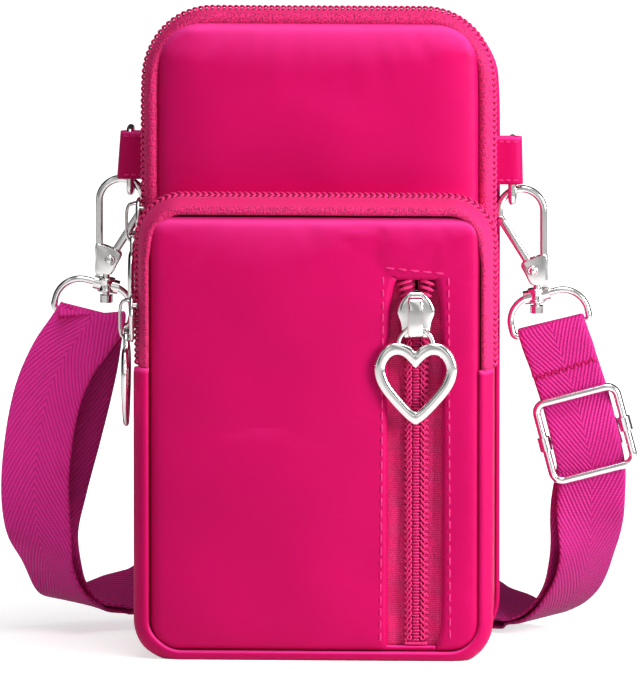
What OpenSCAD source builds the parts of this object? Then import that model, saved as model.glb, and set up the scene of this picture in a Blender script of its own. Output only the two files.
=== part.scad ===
// Upright zipped phone pouch with a clip-on webbing strap.
// X is the pouch's width, +Y goes to its back, +Z is up, and the origin is the middle of the flat base.

/* [Pouch] */
// Height of the main compartment at its zip
pouch_h = 189.6; // [170:0.2:210]
// Half of the distance between the centres of the rounded corners
corner_x = 39; // [34:0.5:46]
// Depth from the front face to the back face
pouch_d = 50; // [44:0.5:60]
// Share of the depth that lies in front of the origin
front_share = 0.5; // [0.45:0.01:0.55]
// Corner radius of the fabric side walls
wall_r = 11.6; // [10.5:0.1:12]
// Thickness of the padded panels
panel_t = 2.4; // [2:0.1:3]
// Thickness of the fabric side walls
gusset_t = 1.6; // [1:0.1:2]
// Thickness of the inner lining
lining_t = 0.5; // [0.4:0.1:0.7]
// Height at which the zips over the top end on each side
zip_end_z = 86; // [76:1:90]

/* [Main compartment] */
// Corner radius at the outside of the main zip
main_r = 13; // [12.6:0.1:13.4]
// How much wider the main compartment's upper corners are rounded than its lower ones
main_round = 7.5; // [5:0.5:9]
// Front face of the upper panel, measured from the origin
main_front_y = -3; // [-4:0.1:-2.4]
// Width of the zip band in front of the main coil
main_band_w = 3.3; // [2.4:0.1:4.4]
// Distance from the upper panel's front face back to the middle of the main zip
main_zip_back = 3.5; // [3.3:0.1:4]
// Width of the zip tape behind the main coil
main_rear_band_w = 2.9; // [2.4:0.1:3.4]

/* [Front pocket] */
// Height of the front pocket at its zip
pocket_h = 137; // [130:0.5:142]
// Corner radius at the outside of the front pocket's zip
pocket_r = 14; // [13.6:0.1:14.6]
// Distance from the front face back to the middle of the pocket zip
pocket_zip_back = 7.2; // [6.6:0.1:8]
// Width of the zip band in front of the pocket coil, seen from the front
pocket_band_w = 3.2; // [2.4:0.1:3.6]
// Distance from the middle of the pocket's zip back to its side wall
pocket_wall_d = 5.3; // [4.8:0.1:6]

/* [Vertical zip] */
// Sideways place of the vertical zip
zip_x = 29.5; // [24:0.1:30]
// Width of its window in the front panel
window_w = 16.8; // [14.6:0.2:18]
// Height of the window's lower edge
window_z0 = 4.5; // [4:0.5:8]
// Height of the window's upper edge
window_z1 = 112.5; // [108:0.5:118]
// Depth of the flat bag behind the vertical zip
bag_d = 8; // [6.8:0.2:9]
// Margin of the flat bag beside the window
bag_margin = 5; // [4:0.5:7]

/* [Zips] */
// Radius of one half of a zip coil
coil_r = 1.05; // [0.9:0.05:1.15]
// Gap between the two halves of a coil, where the slider's post runs
coil_gap = 0.9; // [0.8:0.05:1.2]
// Thickness of the zip tapes
tape_t = 0.6; // [0.4:0.1:0.8]
// Width of a slider's plates
slider_w = 11.2; // [10:0.2:12]
// Length of a slider's plates
slider_l = 13.7; // [12:0.1:15]
// Thickness of a slider's plates
slider_t = 1; // [0.8:0.1:1.2]
// Width of the bridge that holds a pull
bridge_w = 4.4; // [4:0.1:4.6]
// Height of the opening under the bridge
bridge_gap = 2.4; // [2.3:0.1:2.8]
// Width of a side slider's inner plate
inner_plate_w = 2.8; // [2.2:0.1:2.9]
// Running gap between a slider and the coils
slider_gap = 0.3; // [0.2:0.05:0.4]
// Height of the middle of the vertical zip's slider
front_slider_z = 102.2; // [90:0.2:104]
// Height of the middle of the front pocket's slider
pocket_slider_z = 100; // [94:0.5:101]
// Height of the middle of the main compartment's slider
main_slider_z = 126; // [125:0.5:130]

/* [Heart pulls] */
// Width across a heart
heart_w = 23.9; // [22:0.1:24]
// Distance from the top of a heart's lobes to its point
heart_h = 24.3; // [22:0.1:26]
// Radius of a heart's lobes
lobe_r = 6.05; // [5.4:0.05:6.4]
// Distance from the top of the bail down to the top of the lobes
lobe_drop = 4.4; // [4.2:0.1:4.6]
// Depth of the notch between the lobes
notch_d = 2.3; // [1.8:0.1:2.8]
// Width of the band that forms a heart
heart_band = 3.2; // [2.6:0.1:3.6]
// Thickness of a heart
heart_t = 2.2; // [1.8:0.1:2.4]
// Radius of the arched bail above a heart
bail_r = 5.1; // [4.8:0.1:5.3]
// Wire radius of the bail
bail_wire_r = 0.75; // [0.6:0.05:0.85]

/* [Side tabs and rings] */
// Distance from the back face forward to a tab's middle
tab_back = 9.6; // [9.4:0.1:9.8]
// Height of a tab's middle
tab_z = 142.4; // [140:0.2:144]
// Height of a tab
tab_h = 12.6; // [11.6:0.2:12.8]
// Length of a tab from the side wall to its fold
tab_l = 8.2; // [8:0.1:9]
// Thickness of a tab's folded fabric
tab_t = 0.8; // [0.6:0.1:0.9]
// Wire radius of the D rings
ring_wire_r = 1.1; // [0.9:0.05:1.2]
// Height of a D ring between its wire centres
ring_h = 18.6; // [18.2:0.2:19.4]
// Depth of a D ring between its wire centres
ring_d = 12.5; // [12.2:0.1:13.5]
// Distance from the ring's bar back to the hook's middle plane
hook_back = 3.8; // [3.7:0.05:4]
// How much higher the left fittings hang than the right ones
side_lift = 2.4; // [0:0.2:3]

/* [Snap hooks] */
// Sideways distance of a gate's rivet from the side wall
hook_out = 11.5; // [11.4:0.1:12.2]
// Height of a gate's rivet below the middle of the tab
hook_drop = 31.6; // [31.4:0.1:32.6]
// Outer radius of a hook's bow
bow_r = 7.6; // [7.3:0.1:7.7]
// Width of the bow's bar
bow_w = 2.2; // [1.8:0.1:2.3]
// Thickness of the bow's bar
bow_t = 2.6; // [2.2:0.1:3]
// Height of the bow's centre above the rivet
bow_z = 17.5; // [17:0.1:17.6]
// How far the bow's centre lies inward of the rivet
bow_in = 3.4; // [3.2:0.1:3.5]
// Thickness of the hook across its cheeks
cheek_span = 4; // [3.6:0.1:4.2]
// Width of the slot between the cheeks
slot_w = 2; // [1.9:0.1:2.2]
// Thickness of the gate
gate_t = 1.6; // [1.4:0.1:1.7]
// Width of the gate's bar
gate_w = 2.3; // [2:0.1:2.5]
// Radius of the gate's rivet
rivet_r = 0.9; // [0.7:0.05:1]
// Radius of the rivet's heads
rivet_head_r = 1.5; // [1.3:0.1:1.7]
// Radius of the swivel stud
stud_r = 1.05; // [0.9:0.05:1.2]
// Radius of the stud's lower button
button_r = 2; // [1.8:0.1:2.2]
// Height of the stud's lower button
button_h = 2.2; // [1.8:0.1:2.6]
// Radial clearance of the running fits
fit_gap = 0.07; // [0.05:0.01:0.1]

/* [Strap fittings] */
// Wire radius of the strap loops
loop_wire_r = 1; // [0.8:0.05:1.1]
// Height of a strap loop between its wire centres
loop_h = 10.6; // [10:0.1:11.4]
// Width of a strap loop between its wire centres
loop_w = 23; // [22.6:0.2:24]
// Tilt of the strap loops in degrees
loop_tilt = 14; // [12:1:15]
// Sideways offset of a loop's middle from its swivel boss
loop_shift = 2; // [1.5:0.1:2.4]
// Radius of the swivel boss
boss_r = 2.1; // [1.9:0.05:2.2]
// Length of the swivel boss
boss_l = 7.6; // [6.6:0.1:8]
// Wire radius of the slide adjuster
adjuster_wire_r = 1.2; // [1:0.05:1.3]
// Height of the slide adjuster between its wire centres
adjuster_h = 23.6; // [22:0.2:25]
// Width of the slide adjuster between its wire centres
adjuster_w = 24.4; // [24.2:0.2:26]
// Tilt of the slide adjuster in degrees
adjuster_tilt = 15; // [13:1:16]

/* [Strap] */
// Width of the webbing
strap_w = 20; // [18:0.5:20]
// Thickness of the webbing
strap_t = 1.2; // [0.9:0.1:1.3]
// Steps between two of the strap's chosen points
strap_steps = 3; // [2:1:5]

/* [Hidden] */
$fn = 48;

fabric = [0.82, 0.04, 0.38];
coil_pink = [0.92, 0.25, 0.52];
webbing_pink = [0.8, 0.16, 0.55];
lining_dark = [0.45, 0.02, 0.2];
nickel = [0.8, 0.8, 0.8];

// Overrun that lets every cut pass clean through its faces
cut = 1;
// Seam gap between neighbouring soft pieces whose faces are curved
seam = 0.05;
// Working gap between pieces that only rest against each other
rest_gap = 0.3;

front_y = -pouch_d * front_share;
back_y = front_y + pouch_d;
// The three nested rims share their corner centres
main_corner_z = pouch_h - main_r;
pocket_corner_z = pocket_h - pocket_r;
base_corner_z = wall_r;
wall_x = corner_x + wall_r;

// Distance from the middle of a zip to the middle of each coil half
coil_off = coil_gap / 2 + coil_r;
// Distance from the middle of a zip to the outside of its coils
coil_edge = coil_gap / 2 + 2 * coil_r;
main_zip_y = main_front_y + main_zip_back;
pocket_zip_y = front_y + pocket_zip_back;
main_band_a = main_r - 2 * coil_r - seam;
pocket_band_a = pocket_r - 2 * coil_r - seam;
main_panel_a = main_band_a - main_band_w;
pocket_panel_a = pocket_band_a - pocket_band_w;
main_wall_y = main_zip_y + coil_edge + main_rear_band_w;
pocket_wall_y = pocket_zip_y + pocket_wall_d;
back_inner_y = back_y - panel_t;
main_inner_y = main_front_y + panel_t;
wall_inner_a = wall_r - gusset_t;
tab_y = back_y - tab_back;

// Outline of a panel whose corners share the pouch's corner centres; a is its corner radius,
// and its upper corners are rounded more widely by the length round
module outline(a, low_z, top_z, round = 0) {
    translate([-corner_x - a, low_z])
        square([2 * (corner_x + a), top_z - round - low_z]);
    translate([-corner_x, low_z - a])
        square([2 * corner_x, top_z - round - low_z + a]);
    translate([round - corner_x, low_z])
        square([2 * (corner_x - round), top_z - low_z + a]);
    for (side = [-1, 1]) {
        translate([side * corner_x, low_z])
            circle(a);
        translate([side * (corner_x - round), top_z - round])
            circle(a + round);
    }
}

// Turns an outline drawn in X and Z into a plate from y0 to y1
module plate(y0, y1) {
    translate([0, y1, 0])
        rotate([90, 0, 0])
            linear_extrude(y1 - y0)
                children();
}

// Sweeps a profile up one side, over the top and down the other.
// The profile is drawn with X as the distance from the corner centre and Y as the depth.
module arch(end_z, corner_z, round = 0) {
    for (side = [0, 1])
        mirror([side, 0, 0]) {
            if (corner_z - round > end_z)
                translate([corner_x, 0, end_z])
                    linear_extrude(corner_z - round - end_z)
                        children();
            translate([corner_x - round, 0, corner_z - round])
                rotate([-90, 0, 0])
                    rotate_extrude(angle = 90, start = -90)
                        translate([round, 0])
                            children();
        }
    translate([corner_x - round, 0, corner_z])
        rotate([0, -90, 0])
            linear_extrude(2 * (corner_x - round))
                children();
}

// Sweeps a profile down one side, under the base and up the other
module cradle(end_z, corner_z) {
    translate([0, 0, corner_z])
        mirror([0, 0, 1])
            arch(corner_z - end_z, 0)
                children();
}

module box_profile(a0, a1, y0, y1) {
    translate([a0, y0])
        square([a1 - a0, y1 - y0]);
}

// One half of a coil lies just inside the rim and is round in section
module coil_profile(rim_r, y) {
    translate([rim_r - coil_r, y])
        circle(coil_r);
}

// The zip band slopes from a panel's edge back to the coil
module band_profile(panel_a, end_a, panel_y, end_y) {
    slope = norm([end_a - panel_a, end_y - panel_y]) / (end_a - panel_a);
    polygon([
        [panel_a, panel_y], [panel_a, panel_y + tape_t * slope],
        [end_a, end_y + tape_t * slope], [end_a, end_y]
    ]);
}

// Everything below the table is cut away, which leaves the base flat
module above_table() {
    translate([-pouch_h, -pouch_h, 0])
        cube(2 * pouch_h);
}

// The rear tape steps down from the coil to the side wall
module rear_tape_profile(rim_r, y0, y1) {
    polygon([
        [rim_r - coil_r - tape_t / 2, y0], [rim_r - coil_r + tape_t / 2, y0],
        [wall_r, y1], [wall_r - tape_t, y1]
    ]);
}

module back_panel() {
    color(fabric)
        plate(back_inner_y, back_y)
            outline(wall_r, base_corner_z, main_corner_z, main_round);
}

// Radius of the piping, and how far its centre lies outside the side wall
piping_r = panel_t / 3;
piping_a = wall_r + piping_r + seam;
piping_y = back_inner_y;

// The piping leaves the base free: it ends part of the way round the lower corners
piping_turn = 58;

module back_piping() {
    color(fabric) {
        arch(base_corner_z, main_corner_z, main_round)
            translate([piping_a, piping_y])
                circle(piping_r);
        for (side = [0, 1])
            mirror([side, 0, 0])
                translate([corner_x, 0, base_corner_z])
                    rotate([-90, 0, 0])
                        rotate_extrude(angle = piping_turn)
                            translate([piping_a, piping_y])
                                circle(piping_r);
    }
}

module main_gusset() {
    color(fabric) {
        arch(zip_end_z, main_corner_z, main_round)
            box_profile(wall_inner_a, wall_r, main_wall_y, back_inner_y);
        cradle(zip_end_z, base_corner_z)
            box_profile(wall_inner_a, wall_r, main_inner_y, back_inner_y);
    }
}

module main_front_panel() {
    color(fabric)
        plate(main_front_y, main_inner_y) {
            outline(main_panel_a, base_corner_z, main_corner_z, main_round);
            intersection() {
                outline(wall_r, base_corner_z, main_corner_z);
                translate([-wall_x, 0])
                    square([2 * wall_x, zip_end_z]);
            }
        }
}

lining_a = wall_inner_a - seam;

module main_lining() {
    color(lining_dark) {
        arch(base_corner_z, main_corner_z, main_round)
            box_profile(lining_a - lining_t, lining_a, main_wall_y, back_inner_y - seam);
        cradle(base_corner_z, base_corner_z)
            box_profile(lining_a - lining_t, lining_a, main_wall_y, back_inner_y - seam);
        plate(back_inner_y - seam - lining_t, back_inner_y - seam)
            outline(lining_a, base_corner_z, main_corner_z, main_round);
    }
}

module main_zip_tape_front() {
    color(fabric)
        arch(zip_end_z, main_corner_z, main_round)
            band_profile(main_panel_a + seam, main_band_a, main_front_y, main_zip_y - coil_off - tape_t / 2);
}

module main_zip_tape_rear() {
    color(fabric)
        arch(zip_end_z, main_corner_z, main_round)
            rear_tape_profile(main_r, main_zip_y + coil_edge, main_wall_y);
}

module main_zip_coil_front() {
    color(coil_pink)
        arch(zip_end_z, main_corner_z, main_round)
            coil_profile(main_r, main_zip_y - coil_off);
}

module main_zip_coil_rear() {
    color(coil_pink)
        arch(zip_end_z, main_corner_z, main_round)
            coil_profile(main_r, main_zip_y + coil_off);
}

// Front edge of the plain side wall below the zip, where the edge roll starts
roll_y = pocket_zip_y - coil_off - tape_t / 2;
flange_t = gusset_t;

module pocket_gusset() {
    color(fabric) {
        arch(zip_end_z, pocket_corner_z) {
            box_profile(wall_inner_a, wall_r, pocket_wall_y, main_front_y);
            box_profile(main_panel_a, wall_r, main_front_y - flange_t, main_front_y);
        }
        cradle(zip_end_z, base_corner_z) {
            box_profile(wall_inner_a, wall_r, roll_y, main_front_y);
            box_profile(main_panel_a, wall_r, main_front_y - flange_t, main_front_y);
        }
    }
}

// The roll runs from the front panel's edge to the side wall, where the zip has ended
roll_end_a = pocket_r - coil_r - seam;

module pocket_edge_roll() {
    color(fabric)
        intersection() {
            cradle(zip_end_z, base_corner_z)
                polygon([
                    [pocket_panel_a + seam, front_y],
                    [roll_end_a, roll_y - tape_t],
                    [roll_end_a, roll_y - seam],
                    [wall_inner_a + tape_t, roll_y - seam],
                    [pocket_panel_a + seam, front_y + panel_t - tape_t]
                ]);
            above_table();
        }
}

module pocket_front_panel() {
    color(fabric)
        plate(front_y, front_y + panel_t)
            difference() {
                outline(pocket_panel_a, base_corner_z, pocket_corner_z);
                translate([zip_x - window_w / 2, window_z0])
                    square([window_w, window_z1 - window_z0]);
            }
}

module pocket_zip_tape_front() {
    color(fabric)
        arch(zip_end_z, pocket_corner_z)
            band_profile(pocket_panel_a + seam, pocket_band_a, front_y, roll_y);
}

module pocket_zip_tape_rear() {
    color(fabric)
        arch(zip_end_z, pocket_corner_z)
            rear_tape_profile(pocket_r, pocket_zip_y + coil_edge, pocket_wall_y);
}

module pocket_zip_coil_front() {
    color(coil_pink)
        arch(zip_end_z, pocket_corner_z)
            coil_profile(pocket_r, pocket_zip_y - coil_off);
}

module pocket_zip_coil_rear() {
    color(coil_pink)
        arch(zip_end_z, pocket_corner_z)
            coil_profile(pocket_r, pocket_zip_y + coil_off);
}

// The vertical zip lies behind the window, and its coils stand forward into it
front_tape_y = front_y + panel_t + 2 * seam;
front_coil_y = front_tape_y - coil_r;
front_tape_w = window_w / 2 + bag_margin / 2;
bag_w = window_w + 2 * bag_margin;
bag_wall = lining_t;
bag_z0 = base_corner_z - pocket_panel_a + tape_t;
bag_z1 = window_z1 + 1.5 * bag_margin;
stop_h = 2.1 * coil_r;
front_stop_z = window_z0 + rest_gap;
front_top_z = window_z1 - rest_gap - stop_h;

module front_tape(side) {
    color(fabric)
        plate(front_tape_y, front_tape_y + tape_t)
            translate([zip_x, bag_z0 + bag_wall])
                mirror([side < 0 ? 1 : 0, 0])
                    translate([coil_gap / 2, 0])
                        square([front_tape_w - coil_gap / 2, window_z1 + bag_margin - bag_z0]);
}

module front_coil(side) {
    color(coil_pink)
        translate([zip_x + side * coil_off, front_coil_y, front_stop_z + stop_h])
            cylinder(h = front_top_z - front_stop_z - stop_h, r = coil_r);
}

module front_zip_tape_left() {
    front_tape(-1);
}

module front_zip_tape_right() {
    front_tape(1);
}

module front_zip_coil_left() {
    front_coil(-1);
}

module front_zip_coil_right() {
    front_coil(1);
}

module front_zip_bottom_stop() {
    color(nickel)
        translate([zip_x - coil_edge, front_coil_y - coil_r, front_stop_z])
            cube([2 * coil_edge, 2 * coil_r, stop_h]);
}

module front_zip_top_stops() {
    color(nickel)
        for (side = [0, 1])
            translate([zip_x, 0, 0])
                mirror([side, 0, 0])
                    translate([coil_gap / 2, front_coil_y - coil_r, front_top_z])
                        cube([2 * coil_r, 2 * coil_r, stop_h]);
}

// A flat bag, open to the zip, that hangs behind the front panel
module front_zip_bag() {
    color(lining_dark)
        difference() {
            translate([zip_x - bag_w / 2, front_tape_y, bag_z0])
                cube([bag_w, bag_d, bag_z1 - bag_z0]);
            translate([zip_x - bag_w / 2 + bag_wall, front_tape_y - cut, bag_z0 + bag_wall])
                cube([bag_w - 2 * bag_wall, bag_d + cut - bag_wall, bag_z1 - bag_z0 - 2 * bag_wall]);
        }
}

// Sliders: the origin is the middle of the coils, and the pull is on the -Y side
plate_y = coil_r + slider_gap;
plate_front_y = plate_y + slider_t;
inner_plate_y = coil_r + tape_t + slider_gap;
inner_plate_t = 0.8 * slider_t;
pillar_w = coil_gap / 2;
crown_r = slider_w / 2;
crown_z = slider_l / 2 - crown_r;
waist_w = 0.8 * slider_w;
heel_r = 0.12 * slider_w;
bridge_t = slider_t;
bridge_top = 0.38 * slider_l;
bridge_low = -0.46 * slider_l;
hinge_z = bridge_low + bridge_t + bail_r / 3;
hinge_y = plate_front_y + bail_wire_r + rest_gap;

module slider_outline() {
    translate([0, crown_z])
        circle(crown_r);
    translate([-waist_w / 2, heel_r - slider_l / 2])
        square([waist_w, crown_z + slider_l / 2 - heel_r]);
    translate([heel_r - waist_w / 2, -slider_l / 2])
        square([waist_w - 2 * heel_r, heel_r]);
    for (side = [-1, 1])
        translate([side * (waist_w / 2 - heel_r), heel_r - slider_l / 2])
            circle(heel_r);
}

module slider(inner_w) {
    color(nickel) {
        plate(-plate_front_y, -plate_y)
            slider_outline();
        plate(inner_plate_y, inner_plate_y + inner_plate_t)
            intersection() {
                slider_outline();
                translate([-inner_w / 2, -slider_l / 2])
                    square([inner_w, slider_l]);
            }
        translate([-pillar_w / 2, -plate_y - slider_t / 2, crown_z])
            cube([pillar_w, plate_y + slider_t / 2 + inner_plate_y + inner_plate_t / 2, crown_r / 2]);
        difference() {
            translate([-bridge_w / 2, -plate_front_y - bridge_gap - bridge_t, bridge_low])
                cube([bridge_w, bridge_gap + bridge_t + slider_t / 2, bridge_top - bridge_low]);
            translate([-bridge_w / 2 - cut, -plate_front_y - bridge_gap, bridge_low + bridge_t])
                cube([bridge_w + 2 * cut, bridge_gap, bridge_top - bridge_low - 2 * bridge_t]);
            for (end = [[bridge_low, -45], [bridge_top, 45]])
                translate([0, -plate_front_y - bridge_gap - bridge_t, end[0]])
                    rotate([end[1], 0, 0])
                        cube([bridge_w + 2 * cut, bridge_t, bridge_t], center = true);
        }
    }
}

// Pulls: the origin is the middle of the wire at the top of the bail, and the heart faces -Y
lobe_x = heart_w / 2 - lobe_r;
lobe_z = -lobe_drop - lobe_r;
tip_z = -lobe_drop - heart_h;
tip_r = 0.12 * lobe_r;

module heart_outline(r, notch_z, low_z) {
    for (side = [-1, 1])
        hull() {
            translate([side * lobe_x, lobe_z])
                circle(r);
            translate([0, low_z + tip_r])
                circle(tip_r);
        }
    polygon([[-lobe_x, lobe_z], [0, notch_z], [lobe_x, lobe_z], [0, low_z + tip_r]]);
}

module heart_pull() {
    color(nickel) {
        translate([0, 0, -bail_r])
            rotate([90, 0, 0])
                rotate_extrude(angle = 180)
                    translate([bail_r, 0])
                        circle(bail_wire_r);
        plate(-heart_t / 2, heart_t / 2)
            difference() {
                heart_outline(lobe_r, -lobe_drop - notch_d, tip_z);
                heart_outline(
                    lobe_r - heart_band,
                    -lobe_drop - notch_d - 1.55 * heart_band,
                    tip_z + 1.45 * heart_band
                );
            }
    }
}

module side_zip_slider(rim_r, y, z) {
    translate([-corner_x - rim_r + coil_r, y, z])
        rotate([0, 0, -90])
            slider(inner_plate_w);
}

module side_zip_pull(rim_r, y, z) {
    translate([-corner_x - rim_r + coil_r - hinge_y, y, z + hinge_z])
        rotate([0, 0, -90])
            heart_pull();
}

module main_zip_slider() {
    side_zip_slider(main_r, main_zip_y, main_slider_z);
}

module main_zip_pull() {
    side_zip_pull(main_r, main_zip_y, main_slider_z);
}

module pocket_zip_slider() {
    side_zip_slider(pocket_r, pocket_zip_y, pocket_slider_z);
}

module pocket_zip_pull() {
    side_zip_pull(pocket_r, pocket_zip_y, pocket_slider_z);
}

module front_zip_slider() {
    translate([zip_x, front_coil_y, front_slider_z])
        slider(slider_w);
}

module front_zip_pull() {
    translate([zip_x, front_coil_y - hinge_y, front_slider_z + hinge_z])
        heart_pull();
}

// Side fittings are drawn for the right side and mirrored to the left
function lift(side) = -side * side_lift / 2;

module on_side(side) {
    mirror([side < 0 ? 1 : 0, 0, 0])
        translate([0, 0, lift(side)])
            children();
}

ring_x = wall_x + tab_l - tab_t - ring_wire_r - 3 * rest_gap;
rivet_x = wall_x + hook_out;
rivet_z = tab_z - hook_drop;
hook_y = tab_y + hook_back;
bow_x = rivet_x - bow_in;
bow_inner_r = bow_r - bow_w;
// The ring's lower wire hangs inside the bow, a little inward of its middle
ring_in_bow = bow_inner_r - ring_wire_r - 1.5 * rest_gap;
ring_low_z = rivet_z + bow_z + sqrt(pow(ring_in_bow, 2) - pow(bow_x - ring_x, 2));
ring_front_r = 2 * ring_wire_r;
ring_rear_r = 0.6 * ring_d;
tab_inner = ring_wire_r + rest_gap / 1.5;

module tab(side) {
    color(fabric)
        on_side(side)
            difference() {
                translate([wall_x, tab_y - tab_inner - tab_t, tab_z - tab_h / 2])
                    cube([tab_l, 2 * (tab_inner + tab_t), tab_h]);
                translate([wall_x + 2 * tab_t, tab_y - tab_inner, tab_z - tab_h / 2 - cut])
                    cube([tab_l - 3 * tab_t, 2 * tab_inner, tab_h + 2 * cut]);
                translate([
                    wall_x + 2 * tab_t,
                    tab_y + ring_wire_r / 2,
                    ring_low_z + ring_h - ring_wire_r - 2 * rest_gap
                ])
                    cube([tab_l, tab_l, tab_h]);
            }
}

// A closed wire frame in X and Y: its first bar is at X = 0 and its last bar at X = w
module wire_frame(w, h, first_r, last_r, wire_r) {
    for (side = [0, 1])
        mirror([0, side, 0]) {
            translate([first_r, h / 2 - first_r, 0])
                rotate_extrude(angle = 90, start = 90)
                    translate([first_r, 0])
                        circle(wire_r);
            translate([w - last_r, h / 2 - last_r, 0])
                rotate_extrude(angle = 90, start = 0)
                    translate([last_r, 0])
                        circle(wire_r);
            translate([first_r, h / 2, 0])
                rotate([0, 90, 0])
                    cylinder(h = w - first_r - last_r, r = wire_r);
        }
    translate([0, first_r - h / 2, 0])
        rotate([-90, 0, 0])
            cylinder(h = h - 2 * first_r, r = wire_r);
    translate([w, last_r - h / 2, 0])
        rotate([-90, 0, 0])
            cylinder(h = h - 2 * last_r, r = wire_r);
}

module ring(side) {
    color(nickel)
        on_side(side)
            translate([ring_x, tab_y, ring_low_z + ring_h / 2])
                rotate([90, 0, 90])
                    wire_frame(ring_d, ring_h, ring_front_r, ring_rear_r, ring_wire_r);
}

// Hooks: the origin is the gate's rivet, X points outward and Z up
spine_x = bow_r - bow_in - bow_w;
nose_r = sqrt(pow(bow_z - 0.8 * bow_w, 2) + pow(bow_in + bow_r - bow_w / 2, 2));
gate_reach = nose_r - rest_gap;
hub_r = 2.4 * rivet_r;
hub_t = 0.6 * gate_t;
hub_y = -gate_t / 2;
cheek_bottom = 1.9 * bow_w;
stud_x = stud_r + fit_gap;
spring_wire_r = (gate_t - hub_t) / 2.6;
spring_r = rivet_r + spring_wire_r + rest_gap / 2;

module at_rivet(side) {
    on_side(side)
        translate([rivet_x, hook_y, rivet_z])
            children();
}

module hook_bow() {
    translate([-bow_in, bow_z])
        intersection() {
            difference() {
                circle(bow_r);
                circle(bow_inner_r);
            }
            translate([-bow_r, 0])
                square([2 * bow_r, bow_r]);
        }
    translate([spine_x, 0])
        square([bow_w, bow_z]);
    difference() {
        translate([-bow_in - bow_r, bow_z - 2 * bow_w])
            square([bow_w, 2 * bow_w]);
        circle(nose_r);
    }
}

module hook_cheeks() {
    edge = spine_x + bow_w;
    polygon([
        [edge, -cheek_bottom], [-0.15 * edge, -cheek_bottom], [-0.85 * edge, 0.3 * edge],
        [-0.55 * edge, 0.7 * edge], [0.55 * edge, 1.1 * edge], [edge, 1.1 * edge]
    ]);
}

module hook(side) {
    color(nickel)
        at_rivet(side)
            difference() {
                union() {
                    plate(-bow_t / 2, bow_t / 2)
                        hook_bow();
                    plate(-cheek_span / 2, cheek_span / 2)
                        hook_cheeks();
                }
                translate([-bow_r, -slot_w / 2, -hub_r - rest_gap])
                    cube([bow_r + hub_r + rest_gap / 2, slot_w, bow_z / 2]);
                rotate([90, 0, 0])
                    cylinder(h = 2 * cheek_span, r = rivet_r, center = true);
            }
}

// The gate reaches from its hub to the tip of the nose
module gate(side) {
    reach_angle = atan2(bow_z - 0.8 * bow_w, -bow_in - bow_r + bow_w / 2);
    color(nickel)
        at_rivet(side)
            difference() {
                union() {
                    plate(-gate_t / 2, gate_t / 2)
                        intersection() {
                            rotate(reach_angle)
                                translate([0, -gate_w / 2])
                                    square([2 * bow_z, gate_w]);
                            circle(gate_reach);
                        }
                    plate(hub_y, hub_y + gate_t)
                        circle(hub_r);
                }
                translate([0, hub_y + hub_t, 0])
                    rotate([-90, 0, 0])
                        cylinder(h = gate_t, r = hub_r + rest_gap / 2);
                rotate([90, 0, 0])
                    cylinder(h = 2 * cheek_span, r = rivet_r + fit_gap, center = true);
            }
}

module gate_rivet(side) {
    color(nickel)
        at_rivet(side)
            rotate([90, 0, 0]) {
                cylinder(h = cheek_span, r = rivet_r, center = true);
                for (end = [-1, 1])
                    translate([0, 0, end * (cheek_span + rest_gap) / 2])
                        cylinder(h = rest_gap, r = rivet_head_r, center = true);
            }
}

module gate_spring(side) {
    color(nickel)
        at_rivet(side)
            translate([0, hub_y + hub_t + spring_wire_r + seam, 0])
                rotate([90, 0, 0])
                    rotate_extrude()
                        translate([spring_r, 0])
                            circle(spring_wire_r);
}

// The stud hangs from the hook and carries the swivel boss on its button
boss_drop = cheek_bottom + boss_r + 4 * rest_gap;
stud_len = 2 * boss_r + 2 * 4 * rest_gap - rest_gap;

module swivel_stud(side) {
    color(nickel)
        at_rivet(side)
            translate([stud_x, 0, -cheek_bottom]) {
                translate([0, 0, -stud_len])
                    cylinder(h = stud_len, r = stud_r);
                translate([0, 0, -stud_len - button_h])
                    cylinder(h = button_h, r = button_r);
            }
}

module strap_loop(side) {
    color(nickel)
        at_rivet(side)
            translate([stud_x, 0, -boss_drop])
                difference() {
                    rotate([0, -loop_tilt, 0])
                        union() {
                            translate([loop_shift, 0, -loop_h])
                                rotate([0, -90, -90])
                                    wire_frame(loop_h, loop_w, 1.5 * loop_wire_r, 0.7 * loop_h, loop_wire_r);
                            rotate([0, 90, 0])
                                cylinder(h = boss_l, r = boss_r, center = true);
                        }
                    cylinder(h = 4 * boss_r, r = stud_r + fit_gap, center = true);
                }
}

adjuster_x = 77.5;
adjuster_y = tab_y + adjuster_wire_r + rest_gap;
adjuster_z = 61.5;
bar_back = 2 * adjuster_wire_r;
knuckle_r = 1.58 * adjuster_wire_r;
knuckle_l = 3.4 * adjuster_wire_r;

module at_adjuster() {
    translate([adjuster_x, adjuster_y, adjuster_z])
        rotate([0, -adjuster_tilt, 0])
            children();
}

module adjuster_frame() {
    color(nickel)
        at_adjuster()
            translate([0, 0, -adjuster_h / 2])
                rotate([0, -90, -90])
                    wire_frame(adjuster_h, adjuster_w, 2.5 * adjuster_wire_r, 2.5 * adjuster_wire_r, adjuster_wire_r);
}

// The bar lies behind the frame, and its ends are rolled round the frame's sides
module adjuster_bar() {
    color(nickel)
        at_adjuster()
            difference() {
                union() {
                    translate([0, bar_back, 0])
                        rotate([0, 90, 0])
                            cylinder(h = adjuster_w, r = adjuster_wire_r, center = true);
                    for (side = [-1, 1])
                        translate([side * adjuster_w / 2, 0, 0])
                            cylinder(h = knuckle_l, r = knuckle_r, center = true);
                }
                for (side = [-1, 1])
                    translate([side * adjuster_w / 2, 0, 0])
                        cylinder(h = 2 * knuckle_l, r = adjuster_wire_r + seam, center = true);
            }
}

// The strap's route: each entry holds a point of its middle line and the direction of its width.
// It is threaded over both loops, round the back of the pouch, and round the adjuster's bar.
wrap_gap = 0.15;
loop_bar = [stud_x + loop_shift * cos(loop_tilt) + loop_h * sin(loop_tilt),
            loop_shift * sin(loop_tilt) - loop_h * cos(loop_tilt)];

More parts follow.
